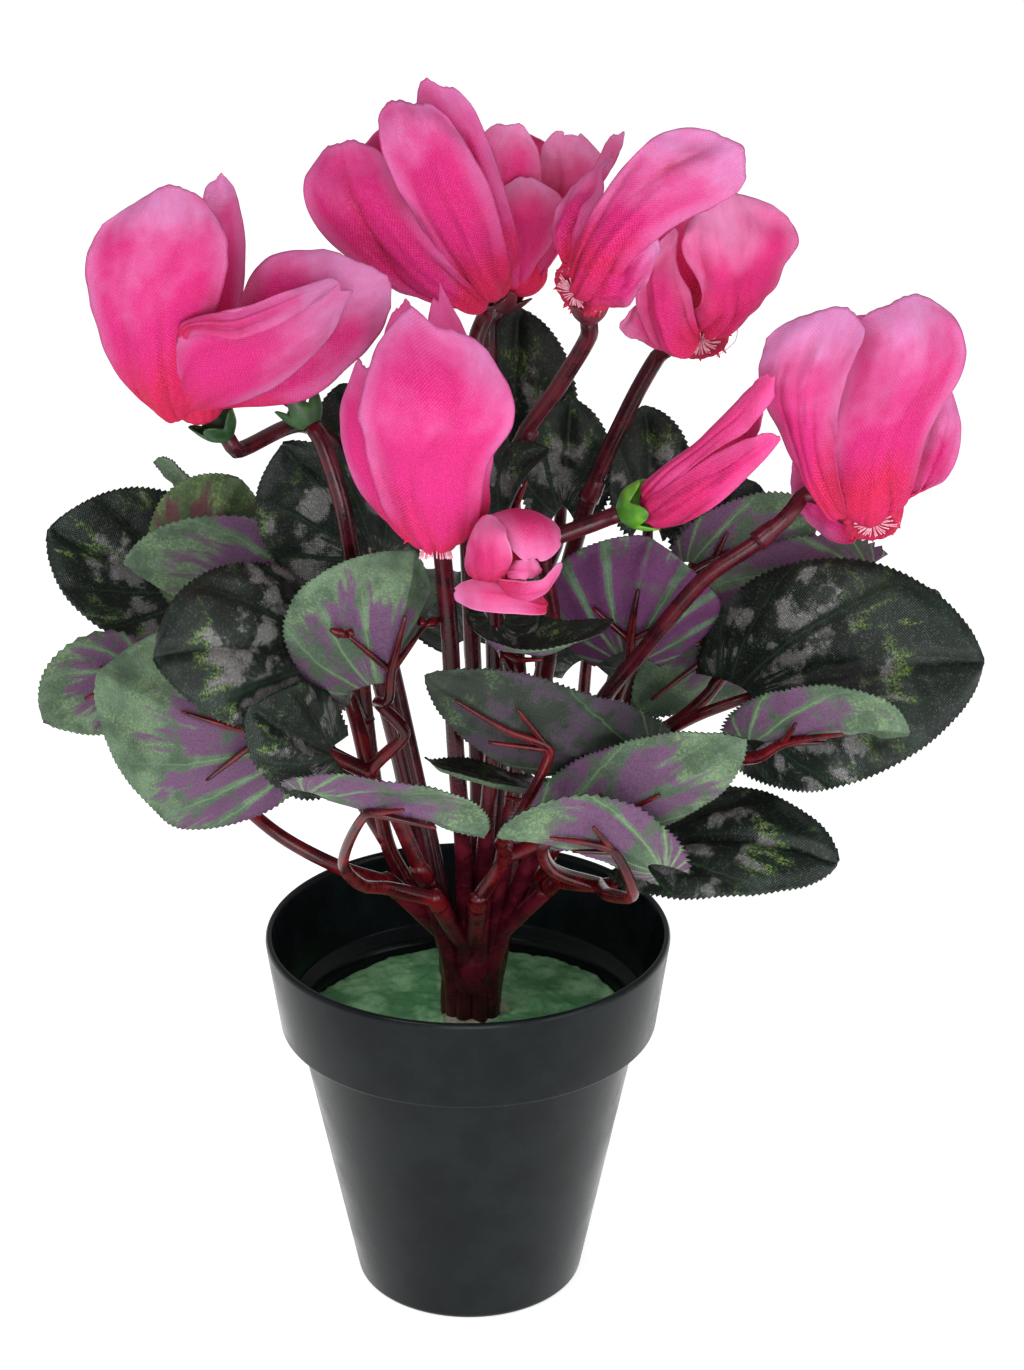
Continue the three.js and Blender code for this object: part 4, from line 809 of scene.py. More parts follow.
# %% Where the stalks are
STALKS = {
    "spray_left_low": {
        "leaf_28": [[-37, -14, 141], [-55, -14, 152], [-74, -4, 166], [-89, 8, 178]],
        "leaf_01": [[-74, -4, 166], [-81, 28, 186]],
    },
    "spray_left": {
        "leaf_07": [[-20, -24, 162], [-27, -30, 178], [-17, -34, 192], [-24, -40, 204]],
        "leaf_05": [[-27, -30, 178], [-38, -33, 186]],
        "leaf_06": [[-27, -30, 178], [-33, -19, 196]],
        "leaf_08": [[-27, -30, 178]],
    },
    "spray_front_left": {
        "leaf_09": [[-22, -32, 143], [-29, -48, 152], [-33, -66, 168]],
    },
    "spray_front": {
        "leaf_10": [[11, -26, 150], [10, -46, 164], [14, -66, 180]],
        "leaf_11": [[11, -26, 150], [30, -20, 156]],
        "leaf_19": [[11, -26, 150], [14, -18, 172], [14, -30, 200], [12, -40, 216]],
        "leaf_25": [[14, -18, 172], [15, -11, 200], [12, -10, 224]],
    },
    "spray_right_low": {
        "leaf_14": [[38, -28, 142], [44, -36, 148]],
        "leaf_13": [[38, -28, 142], [40, -52, 151], [46, -70, 160]],
        "leaf_12": [[38, -28, 142], [24, -46, 156]],
    },
    "spray_right": {
        "leaf_15": [[36, 0, 156], [56, -6, 179], [66, -12, 188]],
        "leaf_17": [[56, -6, 179], [66, -30, 184]],
        "leaf_16": [[56, -6, 179], [70, -4, 192]],
        "leaf_18": [[36, 0, 156], [42, -4, 186]],
        "leaf_22": [[36, 0, 156], [50, 10, 190], [60, 16, 210]],
    },
    "spray_back_right": {
        "leaf_20": [[36, 36, 144], [44, 40, 180], [52, 38, 210]],
        "leaf_30": [[36, 36, 144], [34, 40, 156]],
        "leaf_21": [[44, 40, 180], [62, 30, 206]],
        "leaf_29": [[36, 36, 144], [66, 40, 166], [93, 36, 182]],
    },
    "spray_back": {
        "leaf_23": [[13, 44, 140], [15, 50, 190], [14, 54, 225]],
        "leaf_24": [[15, 50, 190], [26, 40, 220]],
        "leaf_31": [[13, 44, 140], [4, 54, 165]],
    },
    "spray_back_left": {
        "leaf_26": [[-24, 6, 140], [-29, 6, 178], [-30, 8, 210]],
        "leaf_04": [[-29, 6, 178], [-38, 8, 202]],
        "leaf_03": [[-24, 6, 140], [-46, 22, 170], [-64, 28, 192]],
        "leaf_27": [[-46, 22, 170], [-44, 36, 205], [-34, 38, 230]],
        "leaf_02": [[-46, 22, 170], [-64, 48, 184]],
    },
}

# %% Leaf sprays
COLLAR_MM = 7
STALK_RADIUS, RIB_RADIUS = 2.3, 1.3
RIB_REACH, SIDE_RIB_REACH, SIDE_RIB_ACROSS = 0.42, 0.22, 0.45
PADDED_RIBS = "leaf_07"


def under_leaf(spec, t, v, radius):
    """A point under the leaf, for a rib of this radius that stays clear of the cloth."""
    t, v = np.array([t], float), np.array([v], float)
    return leaf_point(spec, t, v)[0] - midline(spec, t)[2][0] * (0.4 + SEAT + radius)


def ribs(batch, spec, landing, seed, padded):
    for v in (-SIDE_RIB_ACROSS, SIDE_RIB_ACROSS):
        lower = 0.4 if spec["curl"] > 0 else 0
        tip = under_leaf(spec, spec["at"] + SIDE_RIB_REACH, v, RIB_RADIUS + lower)
        rod(batch, [landing, (landing + tip) / 2, tip], [1.0, 0.8, 0.5], 10, seed=seed)
        for side in (-1, 1) if padded else ():
            shift = midline(spec, np.array([0.5]))[3][0] * side * 1.6 + unit(tip - landing) * 1.5
            rod(batch, [tip, tip + shift, tip + shift * 1.9], [0.5, 1.5, 0.7], 10, seam=0, seed=seed)


for number, (name, stalks) in enumerate(STALKS.items()):
    batch = Batch()
    outward, _ = stub_start(STUBS[name])
    root = STUBS[name] + outward * SEAT
    collar = root + outward * COLLAR_MM
    rod(batch, [root, root + outward * 4, collar], SLEEVE_RADII, 14, seed=number)
    for order, (leaf_name, places) in enumerate(stalks.items()):
        spec = LEAVES[leaf_name]
        route = [np.array(place, float) for place in places]
        if order == 0:
            route.insert(0, root + (collar - root) * 0.6)
        if spec["at"] < 0.2:
            along = midline(spec, np.array([0.0]))[1][0]
            route.append(under_leaf(spec, 0, 0, 3.3) - along * 4)
        landing = under_leaf(spec, spec["at"], 0, RIB_RADIUS)
        route.append(landing)
        radii = list(np.linspace(STALK_RADIUS, RIB_RADIUS, len(route)))
        for share in (0.5, 1):
            route.append(under_leaf(spec, spec["at"] + RIB_REACH * share, 0, RIB_RADIUS))
            radii.append(RIB_RADIUS - 0.8 * share)
        rod(batch, route, radii, 12, seed=number + order)
        ribs(batch, spec, landing, number, leaf_name == PADDED_RIBS)
    batch.piece(name + "_moulding", [name], "spray_plastic", [spray_plastic])
print("leaf sprays made")

# %% [markdown]
# ## Flowers
# A petal is one cut piece of dyed cloth, pressed with a bow and gathered at its root. It hangs
# between two edge curves through four points each, in millimetres, the same ones as in the CAD
# model. Towards its root it bows out and is gathered into pleats with painted shade in their bottoms.
# A cloth simulation would fold it by chance. These folds are worked out, so they stay where the
# photograph shows them: strong on one flower, nearly pressed flat on another.

# %% Where the petals are
def between(left, right, bow=0.3, root_bow=0.8):
    return {"left": np.array(left, float), "right": np.array(right, float), "bow": bow, "root_bow": root_bow}


PETALS = {
    "bloom_a": [
        between([[-85, -26, 285], [-96, -36, 305], [-98, -42, 332], [-84, -36, 348]],
                [[-73, -30, 287], [-66, -42, 314], [-61, -42, 333], [-69, -36, 350]]),
        between([[-75, -16, 286], [-73, -12, 311], [-71, -14, 334], [-67, -16, 348]],
                [[-68, -14, 285], [-60, -6, 312], [-60, -10, 335], [-63, -16, 347]]),
        between([[-77, -30, 290], [-73, -46, 313], [-52, -48, 321], [-30, -42, 327]],
                [[-70, -28, 285], [-54, -40, 293], [-38, -42, 305], [-30, -40, 320]]),
        between([[-74, -46, 314], [-59, -49, 319], [-45, -48, 324], [-30, -42, 328]],
                [[-71, -50, 313], [-58, -54, 313], [-42, -52, 319], [-29, -44, 326]], bow=0.1, root_bow=0.1),
        between([[-70, -20, 286], [-60, -26, 313], [-49, -28, 328], [-30, -30, 330]],
                [[-66, -22, 283], [-41, -32, 290], [-24, -36, 305], [-16, -34, 323]]),
        between([[-69, -14, 284], [-69, 0, 304], [-70, 4, 326], [-75, 4, 335]],
                [[-82, -14, 282], [-94, -2, 298], [-96, 2, 321], [-86, 2, 334]]),
    ],
    "bloom_b": [
        between([[-1, 2, 306], [-22, -6, 314], [-42, -6, 333], [-39, 2, 351]],
                [[5, -6, 310], [-6, -12, 327], [-17, -10, 342], [-25, 0, 354]]),
        between([[0, -4, 309], [-10, -14, 328], [-20, -16, 349], [-24, -8, 366]],
                [[12, -4, 318], [9, -14, 335], [2, -16, 353], [-9, -8, 366]]),
        between([[7, 4, 314], [2, 0, 332], [-9, -2, 352], [-14, 2, 368]],
                [[15, 4, 318], [13, 0, 331], [7, -2, 352], [-1, 2, 366]]),
        between([[12, 14, 312], [8, 22, 327], [3, 24, 343], [-4, 20, 355]],
                [[0, 14, 306], [-18, 22, 320], [-31, 24, 335], [-32, 20, 344]]),
    ],
    "bloom_c": [
        between([[11, 40, 300], [5, 34, 320], [3, 32, 338], [7, 36, 349]],
                [[18, 38, 302], [21, 30, 320], [21, 30, 336], [19, 34, 346]]),
        between([[16, 46, 301], [19, 46, 317], [20, 44, 332], [22, 44, 343]],
                [[23, 46, 303], [32, 46, 319], [39, 44, 331], [37, 44, 341]]),
        between([[19, 38, 304], [27, 32, 321], [36, 32, 336], [41, 36, 346]],
                [[24, 38, 307], [34, 32, 325], [41, 32, 336], [46, 36, 346]]),
        between([[10, 36, 302], [8, 28, 316], [7, 24, 327], [13, 26, 335]],
                [[19, 36, 305], [26, 26, 320], [28, 24, 328], [19, 26, 335]]),
        between([[22, 50, 303], [27, 58, 316], [27, 58, 330], [23, 54, 337]],
                [[11, 50, 299], [10, 58, 315], [9, 58, 331], [12, 54, 339]]),
    ],
    "bloom_d": [
        between([[29, -18, 323], [35, -24, 340], [47, -24, 356], [62, -20, 362]],
                [[37, -20, 312], [47, -30, 329], [62, -28, 339], [81, -22, 347]]),
        between([[27, -10, 322], [24, -6, 329], [29, -2, 338], [38, 2, 346]],
                [[31, -16, 322], [34, -16, 334], [38, -12, 341], [41, -4, 348]]),
        between([[35, -20, 322], [42, -27, 328], [48, -29, 332], [53, -27, 334]],
                [[35, -18, 312], [43, -22, 311], [47, -25, 318], [52, -25, 327]]),
        between([[39, -4, 312], [51, 6, 324], [65, 10, 335], [72, 8, 347]],
                [[30, -4, 319], [38, 6, 333], [49, 10, 343], [59, 8, 351]]),
    ],
    "bloom_e": [
        between([[63, 2, 301], [64, -4, 311], [59, -6, 324], [62, -2, 332]],
                [[76, 8, 297], [85, 4, 309], [90, 4, 324], [81, 8, 336]]),
        between([[55, 8, 290], [48, 4, 302], [48, 4, 313], [52, 8, 322]],
                [[64, 0, 300], [62, 0, 309], [58, 4, 317], [59, 8, 326]]),
        between([[74, 18, 296], [84, 30, 307], [81, 32, 322], [72, 28, 330]],
                [[57, 18, 293], [51, 26, 305], [52, 30, 318], [58, 28, 327]]),
        between([[60, 10, 288], [53, 10, 290], [48, 10, 292], [43, 12, 294]],
                [[58, 10, 297], [53, 10, 299], [49, 10, 302], [46, 12, 302]], root_bow=0.3),
    ],
    "bloom_f": [
        between([[96, -34, 260], [87, -38, 278], [78, -44, 301], [85, -38, 319]],
                [[103, -38, 260], [98, -50, 284], [101, -52, 302], [109, -42, 316]]),
        between([[100, -34, 260], [97, -41, 281], [101, -41, 300], [105, -34, 316]],
                [[120, -32, 260], [126, -36, 282], [133, -36, 304], [126, -32, 318]]),
        between([[121, -24, 257], [124, -20, 268], [127, -18, 278], [129, -18, 288]],
                [[127, -22, 260], [133, -18, 263], [136, -16, 275], [133, -16, 288]], root_bow=0.3),
        between([[107, -22, 244], [99, -16, 244], [93, -12, 249], [89, -10, 258]],
                [[107, -20, 255], [100, -14, 257], [94, -10, 261], [91, -8, 266]], root_bow=0.3),
        between([[121, -16, 255], [129, -8, 272], [132, -6, 292], [126, -8, 302]],
                [[104, -16, 255], [94, -8, 275], [94, -6, 292], [102, -8, 303]]),
    ],
    "bloom_g": [
        between([[-17, -66, 264], [-23, -80, 288], [-25, -86, 309], [-16, -78, 329]],
                [[3, -66, 264], [7, -80, 287], [14, -86, 305], [1, -78, 327]]),
        between([[-18, -60, 263], [-28, -64, 277], [-32, -64, 294], [-27, -60, 308]],
                [[-10, -64, 263], [-16, -72, 282], [-20, -74, 297], [-22, -66, 315]]),
        between([[-3, -64, 263], [0, -66, 278], [2, -66, 292], [3, -62, 306]],
                [[6, -58, 265], [7, -62, 277], [8, -62, 288], [8, -60, 301]]),
        between([[-8, -54, 262], [-8, -44, 282], [-9, -42, 303], [-14, -42, 324]],
                [[-17, -56, 263], [-23, -46, 282], [-22, -42, 303], [-17, -42, 325]]),
        between([[2, -54, 263], [4, -44, 282], [4, -42, 300], [-5, -42, 324]],
                [[-6, -54, 262], [-8, -42, 281], [-10, -40, 300], [-8, -42, 325]]),
    ],
    "bud_h": [
        between([[3, -68, 252], [1, -72, 258], [2, -74, 265], [5, -72, 270]],
                [[11, -72, 253], [13, -84, 263], [12, -86, 270], [10, -80, 272]], root_bow=0.4),
        between([[18, -60, 258], [23, -66, 267], [26, -76, 266], [25, -79, 262]],
                [[7, -61, 258], [7, -67, 268], [10, -80, 270], [13, -84, 263]], root_bow=0.2),
        between([[9, -73, 254], [15, -80, 255], [21, -82, 257], [25, -79, 261]],
                [[11, -72, 250], [16, -77, 249], [22, -77, 251], [26, -74, 258]], root_bow=0.3),
        between([[22, -68, 242], [13, -76, 245], [5, -75, 245], [-3, -69, 246]],
                [[21, -68, 246], [14, -71, 250], [5, -71, 253], [-3, -68, 249]], root_bow=0.3),
        between([[12, -73, 257], [14, -80, 261], [17, -81, 262], [20, -78, 260]],
                [[12, -72, 253], [14, -80, 256], [17, -80, 256], [20, -77, 256]], root_bow=0.2),
    ],
    "bud_i": [
        between([[49, -26, 263], [61, -36, 277], [72, -46, 293], [80, -54, 305]],
                [[53, -30, 260], [64, -42, 275], [76, -52, 288], [84, -56, 303]]),
        between([[51, -30, 261], [63, -42, 274], [75, -50, 284], [82, -54, 288]],
                [[55, -27, 250], [65, -38, 259], [76, -48, 273], [84, -53, 284]]),
        between([[55, -20, 250], [66, -28, 260], [75, -38, 275], [81, -50, 294]],
                [[50, -20, 260], [61, -26, 271], [73, -36, 287], [79, -48, 300]]),
    ],
    "bud_j": [
        between([[-49, -14, 286], [-47, -16, 297], [-43, -16, 307], [-39, -14, 311]],
                [[-44, -14, 285], [-39, -16, 297], [-36, -16, 306], [-34, -14, 311]]),
        between([[-44, -9, 284], [-40, -4, 293], [-37, -5, 303], [-35, -8, 309]],
                [[-50, -9, 285], [-47, -4, 293], [-44, -5, 303], [-39, -8, 309]]),
    ],
}
print(sum(len(petals) for petals in PETALS.values()), "petals")

# %% Petal edges and folds
PETAL_INSET, TIP_ROUND, BOW_SETTLES, SLOPE_STEP = 0.35, 0.07, 2, 0.02
PETAL_ROWS, PETAL_COLUMNS = 57, 43
# One fold to each 7 mm of half width, and how high each kind of unevenness rises.
FOLD_MM = 7
PLEAT_MM, GATHER_MM, CREASE_MM, PINCH_MM, FLUTTER_MM = 2.8, 0.6, 2.4, 1.1, 1.8


def petal_edge(core, stations, s):
    """Point of a petal's edge at share s: a smooth curve from inside the core to the tip."""
    knots = np.concatenate([[core + (stations[0] - core) * PETAL_INSET], stations])
    knots = np.concatenate([[2 * knots[0] - knots[1]], knots, [2 * knots[-1] - knots[-2]]])
    walked = np.clip(s, 0, 1) * (len(knots) - 3)
    i = np.minimum(walked.astype(int), len(knots) - 4)
    p0, p1, p2, p3 = (knots[i + k] for k in range(4))
    return hermite(p1, p2, (p2 - p0) / 2, (p3 - p1) / 2, (walked - i)[..., None])


def folded(lift, t, v, size, wobble, rough, dice, pleats, seed):
    """Adds folds to the plain bow of a petal. Also tells how deep in a fold each point is, for the painted
    shade there.
    """
    # Folds run up from the root, wander and fade. Their bottoms are sharp, and no two are alike.
    count = max(1.4, float(size.max()) / FOLD_MM)
    turn = v * count / 2 + wobble * count / 3 + dice.random() + 0.8 * (dice.random() - 0.5) * t
    ridge = np.abs(np.sin(math.pi * turn)) ** 0.8
    strength = np.clip(0.75 + 1.1 * rough(np.floor(turn), t * 0, 1.37, 7), 0.1, 1.3)
    deep = pleats * strength * (1 - smooth(0.3, 1.0, t + 0.4 * wobble)) * smooth(0.02, 0.16, t)
    gather, crumple = rough(v * size * 0.9, t * 9, 1.0, 5), rough(v * size, t * 60, 0.11, 9)
    pinch = np.exp(-((v - 0.5 * (dice.random() - 0.5)) / 0.13) ** 2) * (1 - smooth(0.5, 0.95, t))
    lift = lift + (PLEAT_MM * (ridge - 0.7) + GATHER_MM * gather) * deep * np.clip(size / 9, 0.3, 1)
    lift = lift + pleats * (CREASE_MM * crumple * smooth(0.1, 0.5, t) + 0.5 * gather * smooth(0.5, 0.1, t))
    lift = lift + pleats * PINCH_MM * dice.choice((-1, 1)) * pinch * smooth(0.05, 0.25, t)
    lift = lift + FLUTTER_MM * pleats * np.sin(7 * t + 2 * np.sign(v) + seed) * v**4 * t
    # Painted shade: the bottoms of the folds and the hollows of the gathers are darkened.
    shade = (1 - ridge) ** 1.5 * deep + 0.35 * np.clip(-gather * 2, 0, 1) * deep
    return lift, np.clip(shade, 0, 1), gather


# %% Petal
def petal(batch, spec, core, seed, finishes, pleats):
    t, v = np.meshgrid(np.linspace(0, 1, PETAL_ROWS), np.linspace(-1, 1, PETAL_COLUMNS), indexing="ij")

    def middle(s):
        return (petal_edge(core, spec["left"], s) + petal_edge(core, spec["right"], s)) / 2

    def rough(across, up, scale, number):
        return noise_grid(np.stack([across, up, t * 0], axis=-1), scale, seed + number)

    # The cut edge wanders and the tip is uneven, as if each petal was cut a little differently.
    wobble = rough(v * 2, t * 3, 0.9, 0)
    tip = 0.09 * rough(v * 1.1, t * 0, 1.0, 1) + 0.008 * rough(v * 7, t * 0, 1.0, 2) - 0.035
    s = t - TIP_ROUND * v**4 * t**5 + tip * t**5
    left, right = petal_edge(core, spec["left"], s), petal_edge(core, spec["right"], s)
    half = (right - left) / 2
    size = np.linalg.norm(half, axis=-1)
    along = middle(np.clip(s + SLOPE_STEP, 0, 1)) - middle(np.clip(s - SLOPE_STEP, 0, 1))
    outward = unit(np.cross(half, along))
    bow = spec["root_bow"] + (spec["bow"] - spec["root_bow"]) * np.minimum(BOW_SETTLES * s, 1)
    lift, shade, gather = folded(
        bow * size * (1 - v * v), t, v, size, wobble, rough, random.Random(seed), pleats, seed)
    crown = 0.22 * size * (1 - v * v) * t**8
    wander = rough(np.sign(v) * 5, t * 4, 1.0, 4) * v**6 * smooth(0.15, 0.4, t)
    nicks = rough(v * 6, t * 14, 1.0, 3)
    edge_cut = 1 + 0.1 * wander + 0.035 * nicks * v**20 * smooth(0.1, 0.3, t)
    place = (left + half * (1 + v * edge_cut)[..., None] + outward * lift[..., None]
             + unit(along) * crown[..., None])
    length = length_of(middle(np.linspace(0, 1, 60)))
    to_rim = np.minimum(size * (1 - np.abs(v)), length * (1 - t))
    cut = (v * size, t * length, seed * SEED_SHIFT_MM)
    cloth(batch, place, finishes, cut, (shade, gather, t), (to_rim, np.abs(v), t))


# %% [markdown]
# The roots of the petals are glued to a small core, and together they look like one hood. The core
# is a ball of gathered cloth. Where a throat is open, the ball is dished in with a rolled lip round
# the dish, frayed tags of cloth stand on the lip, and a few specks of dried glue lie beside it. On
# the stem side a five-pointed calyx hugs the flower. Ball and calyx are both rings about an axis.

# %% Rings about an axis
def axes_from(direction):
    """Two directions at right angles to this one and to each other."""
    helper = np.array([0, 0, 1.0]) if abs(direction[2]) < 0.9 else np.array([1.0, 0, 0])
    side = unit(np.cross(helper, direction))
    return side, np.cross(direction, side)


def around(batch, middle, axis, rings, finish, **facts):
    """Joins rings of radius and height about an axis. The heights run from front to back."""
    side, other = axes_from(axis)
    sides = len(rings[0][0])
    angles = np.arange(sides) * 2 * math.pi / sides
    loops = [middle + np.outer(np.cos(angles) * wide, side) + np.outer(np.sin(angles) * wide, other)
             + np.outer(high * np.ones(sides), axis) for wide, high in rings]
    batch.add(np.concatenate(loops), band(len(rings), sides, "dcba"), finish, **facts)


# %% Core
# The places of these finishes in a flower's list of finishes.
OUTER_FINISH, CALYX_FINISH, THROAT_FINISH, GLUE_FINISH = 0, 2, 3, 4
HUB_SIDES, HUB_RINGS = 72, 32
HUB_PLEATS, DISH, LIP_AT = 7, 0.6, 0.86


def hub(batch, core, axis, radius, is_open, seed):
    """The ball. An open one is dished in, and its lip lies at the angle LIP_AT from the axis."""
    angles = np.arange(HUB_SIDES) * 2 * math.pi / HUB_SIDES
    rings, shades, cuts = [], [], []
    for i in range(HUB_RINGS + 1):
        polar = math.pi * i / HUB_RINGS
        pleat = np.abs(np.sin(angles * HUB_PLEATS + 1.5 * math.sin(polar * 3) + seed))
        size = radius * (1 + 0.05 * (pleat - 0.5) * math.sin(polar))
        # Painted shade in the bottoms of the pleats.
        dark = (1 - pleat) ** 3 * 0.8
        if is_open:
            lip = math.exp(-((polar - LIP_AT) / 0.14) ** 2)
            size = size * (1 + 0.05 * lip - DISH * float(smooth(0.82, 0.3, polar)))
            # Painted shade in the hollow of the dish.
            dark = dark + 0.9 * float(smooth(0.85, 0.65, polar))
        flat = math.sin(polar) ** (0.75 if is_open and polar < math.pi / 2 else 1)
        rings.append((size * flat, size * math.cos(polar)))
        shades.append(np.stack([np.minimum(dark, 1), 0 * pleat, 0 * pleat], axis=-1))
        cuts.append(np.stack([angles * radius, np.full(HUB_SIDES, polar * radius), 0 * angles], axis=-1))
    finish = THROAT_FINISH if is_open else OUTER_FINISH
    around(batch, core, axis, rings, finish, fan=np.concatenate(shades), cut=np.concatenate(cuts))


# %% Frayed throat
def frayed(batch, core, axis, radius, seed, count):
    """Frayed tags of cloth round the lip of the throat. Every fourth one is a speck of glue."""
    side, other = axes_from(axis)
    dice = random.Random(seed)
    for i in range(count):
        turn, polar = dice.uniform(0, 2 * math.pi), dice.uniform(0.85, 1.15)
        out = side * math.cos(turn) + other * math.sin(turn)
        place = core + radius * (axis * math.cos(polar) + out * math.sin(polar))
        way = unit(axis + out * dice.uniform(0, 1.2)) * dice.uniform(0.8, 2.4)
        if i % 4:
            line = [place - way * 0.3, place + way * 0.5, place + way]
            rod(batch, line, [0.6, 0.4, 0.12], 6, seam=0, finish=THROAT_FINISH)
        else:
            line = [place, place + unit(way) * 0.4, place + unit(way) * 0.7]
            rod(batch, line, [0.2, 0.3, 0.15], 6, seam=0, finish=GLUE_FINISH)


# %% Calyx
CALYX_SIDES, CALYX_STEPS = 60, 14


def calyx(batch, name, finish, bulb=0.0):
    """Five pointed sepals that hug the back of a flower, outside first and then inside."""
    rear = rear_of(name)
    base = CORES[name] + rear * cup_at(name)
    angles = np.arange(CALYX_SIDES) * 2 * math.pi / CALYX_SIDES
    point = (0.5 + 0.5 * np.cos(angles * 5)) ** 0.7
    rings = []
    for thickness, steps in ((0.0, range(CALYX_STEPS + 1)), (0.5, range(CALYX_STEPS, -1, -1))):
        for i in steps:
            s = i / CALYX_STEPS
            wide = 2.6 + (2.4 + bulb) * math.sin(min(s * 1.9, math.pi / 2)) + 1.8 * point * s * s
            rings.append((wide - thickness * min(1, s * 6), CUP * (1 - s) - (3.2 + bulb) * point * s * s))
    around(batch, base, rear, rings, finish)


# %% Flowers
THROATS = {
    "bloom_d": [-0.7, -0.6, -0.4], "bloom_e": [0.1, -0.8, -0.6],
    "bloom_f": [0, -0.83, -0.55], "bloom_g": [0, -0.35, -0.94],
}
THROATS = {name: unit(np.array(way, float)) for name, way in THROATS.items()}
# bloom_c and bloom_e stand in the shade of other flowers and take the dye with painted light.
OUTER = {
    "bloom_b": "petal_deeper_dye", "bloom_c": "petal_painted_light", "bloom_e": "petal_painted_light",
    "bloom_g": "petal_deeper_dye", "bud_h": "rosebud", "bud_i": "bud", "bud_j": "bud",
}
PLEATS = {
    "bloom_a": 0.45, "bloom_c": 0.6, "bloom_f": 0.7, "bloom_g": 0.35,
    "bud_h": 0.3, "bud_i": 0.7, "bud_j": 0.6,
}
TAGS = {"bloom_d": 26}
SHOWN_GREEN = {"bloom_a": calyx_painted_shade, "bud_i": calyx_plastic, "bud_j": calyx_painted_shade}
for order, (name, petals) in enumerate(PETALS.items()):
    batch, core, is_open = Batch(), CORES[name], name in THROATS
    for number, spec in enumerate(petals):
        petal(batch, spec, core, 40 + order * 7 + number, (0, 1), PLEATS.get(name, 1.0))
    axis = THROATS[name] if is_open else -rear_of(name)
    radius = HUBS.get(name, USUAL_HUB)
    hub(batch, core, axis, radius * (0.97 if is_open else 0.8), is_open, order)
    if is_open:
        frayed(batch, core, axis, radius, order, TAGS.get(name, 12))
    if name not in OWN_CALYX:
        calyx(batch, name, CALYX_FINISH)
    outer = satin[OUTER.get(name, "petal_outer_side")]
    finishes = [outer, satin["petal_inner_side"], calyx_hidden, satin["throat"], glue]
    batch.piece(name + "_cloth", [name], "petal_fabric", finishes)
    if name in OWN_CALYX:
        batch = Batch()
        calyx(batch, name, 0, bulb=1.2 if name == "bud_i" else 0.3)
        batch.piece(name + "_calyx_moulding", [name + "_calyx"], "calyx_plastic", [SHOWN_GREEN[name]])
print("flowers made")

# %% [markdown]
# ## Threads in the throats
# The stamens are a pinch of nylon thread, glued in the middle of the throat and combed outward, so
# they lie over the dish like the ribs of a fan and end at its lip. In one flower they hang free.
# One loose hair of thread sticks out beside another flower. There are so few of them that each is
# a thin rod of its own, and hair particles aren't needed.

# %% Threads
STRANDS = 28
THREAD_RADII = [0.14, 0.17, 0.2]
HANGING = "bloom_g"
LOOSE_HAIR = [[75.5, 4.0, 298.7], [74.7, 2.0, 294.7], [69.4, 0.0, 290.7]]


def thread_route(hangs, length):
    """Reach from the axis and height along it, at the root, the bend and the end of a thread."""
    if hangs:
        return [(1.0, 6.0), (3.4, 7.6), (4.4, 7.6 + 3.0 * length)]
    return [(0.6, 4.4), (3.0 * length, 6.3), (6.4 * length, 6.9)]


random.seed(11)
for name, throat in THROATS.items():
    batch = Batch()
    side, other = axes_from(throat)
    for i in range(STRANDS):
        turn = 2 * math.pi * (i + random.uniform(-0.35, 0.35)) / STRANDS
        outward = side * math.cos(turn) + other * math.sin(turn)
        length = random.uniform(0.75, 1.05) * (1.0 if name == HANGING or outward[2] > 0 else 0.7)
        route = thread_route(name == HANGING, length)
        line = [CORES[name] + throat * high + outward * wide for wide, high in route]
        rod(batch, line, THREAD_RADII, 6, seam=0, seed=i, step=1.2)
    if name == "bloom_e":
        rod(batch, LOOSE_HAIR, [0.12, 0.12, 0.1], 6, seam=0, step=1.5)
    batch.piece(name + "_brush", [name + "_threads"], "thread", [thread_nylon])
print("threads made")

# %% [markdown]
# ## Pot
# The pot is injection moulded with a straight band under its rim, so all of it is round about one
# axis. A Screw modifier could turn its profile. The profile is turned in code instead, after each
# corner was rounded, because no moulded edge is quite sharp and a round one catches the light.

# %% Pot
POT_PROFILE = [
    (0, 0), (32.8, 0), (34, 1.2), (51, 85), (56, 85), (60, 112.8), (59.4, 114), (58.3, 114),
    (57.7, 112.8), (53.7, 89), (49.9, 87), (48.7, 85), (31.7, 2.5), (0, 2.5),
]
POT_CORNER_MM, CORNER_STEPS, POT_SIDES = 0.8, 4, 160


def rounded(profile, corner):
    out = [profile[0]]
    for i in range(1, len(profile) - 1):
        before, here, after = (np.array(p, float) for p in profile[i - 1:i + 2])
        size = min(corner, 0.45 * np.linalg.norm(here - before), 0.45 * np.linalg.norm(after - here))
        start, end = here + unit(before - here) * size, here + unit(after - here) * size
        for k in range(CORNER_STEPS + 1):
            s = k / CORNER_STEPS
            out.append(tuple(start * (1 - s) ** 2 + 2 * here * s * (1 - s) + end * s**2))
    return out + [profile[-1]]


batch = Batch()
turned(batch, rounded(POT_PROFILE, POT_CORNER_MM), 0, 0, POT_SIDES)
batch.piece("pot_moulding", ["pot"], "pot_plastic", [pot_plastic])

# %% [markdown]
# ## Foam
# A block of floral foam fills the pot. It was cut by hand, so its top is uneven and full of open
# cells, and a collar of hot glue holds the trunk in its hole. A displacement texture could roughen
# a flat disc. Here the rings of the disc run from the trunk, which stands off the middle, out to
# the pot, and two noises move them up and down: slow waves from the knife and small crumbs.

# %% Foam
FOAM_RINGS, FOAM_SIDES = 70, 180
FOAM_HOLE, FOAM_EDGE, FOAM_TOP = 7.6, 48.0, 83
FOAM_WALL = [(47.6, 70), (31.2, 3)]
GLUE_COLLAR = [(8.4, 80), (10.6, 82), (10.1, 83.8), (8.9, 84.6), (7.6, 85)]

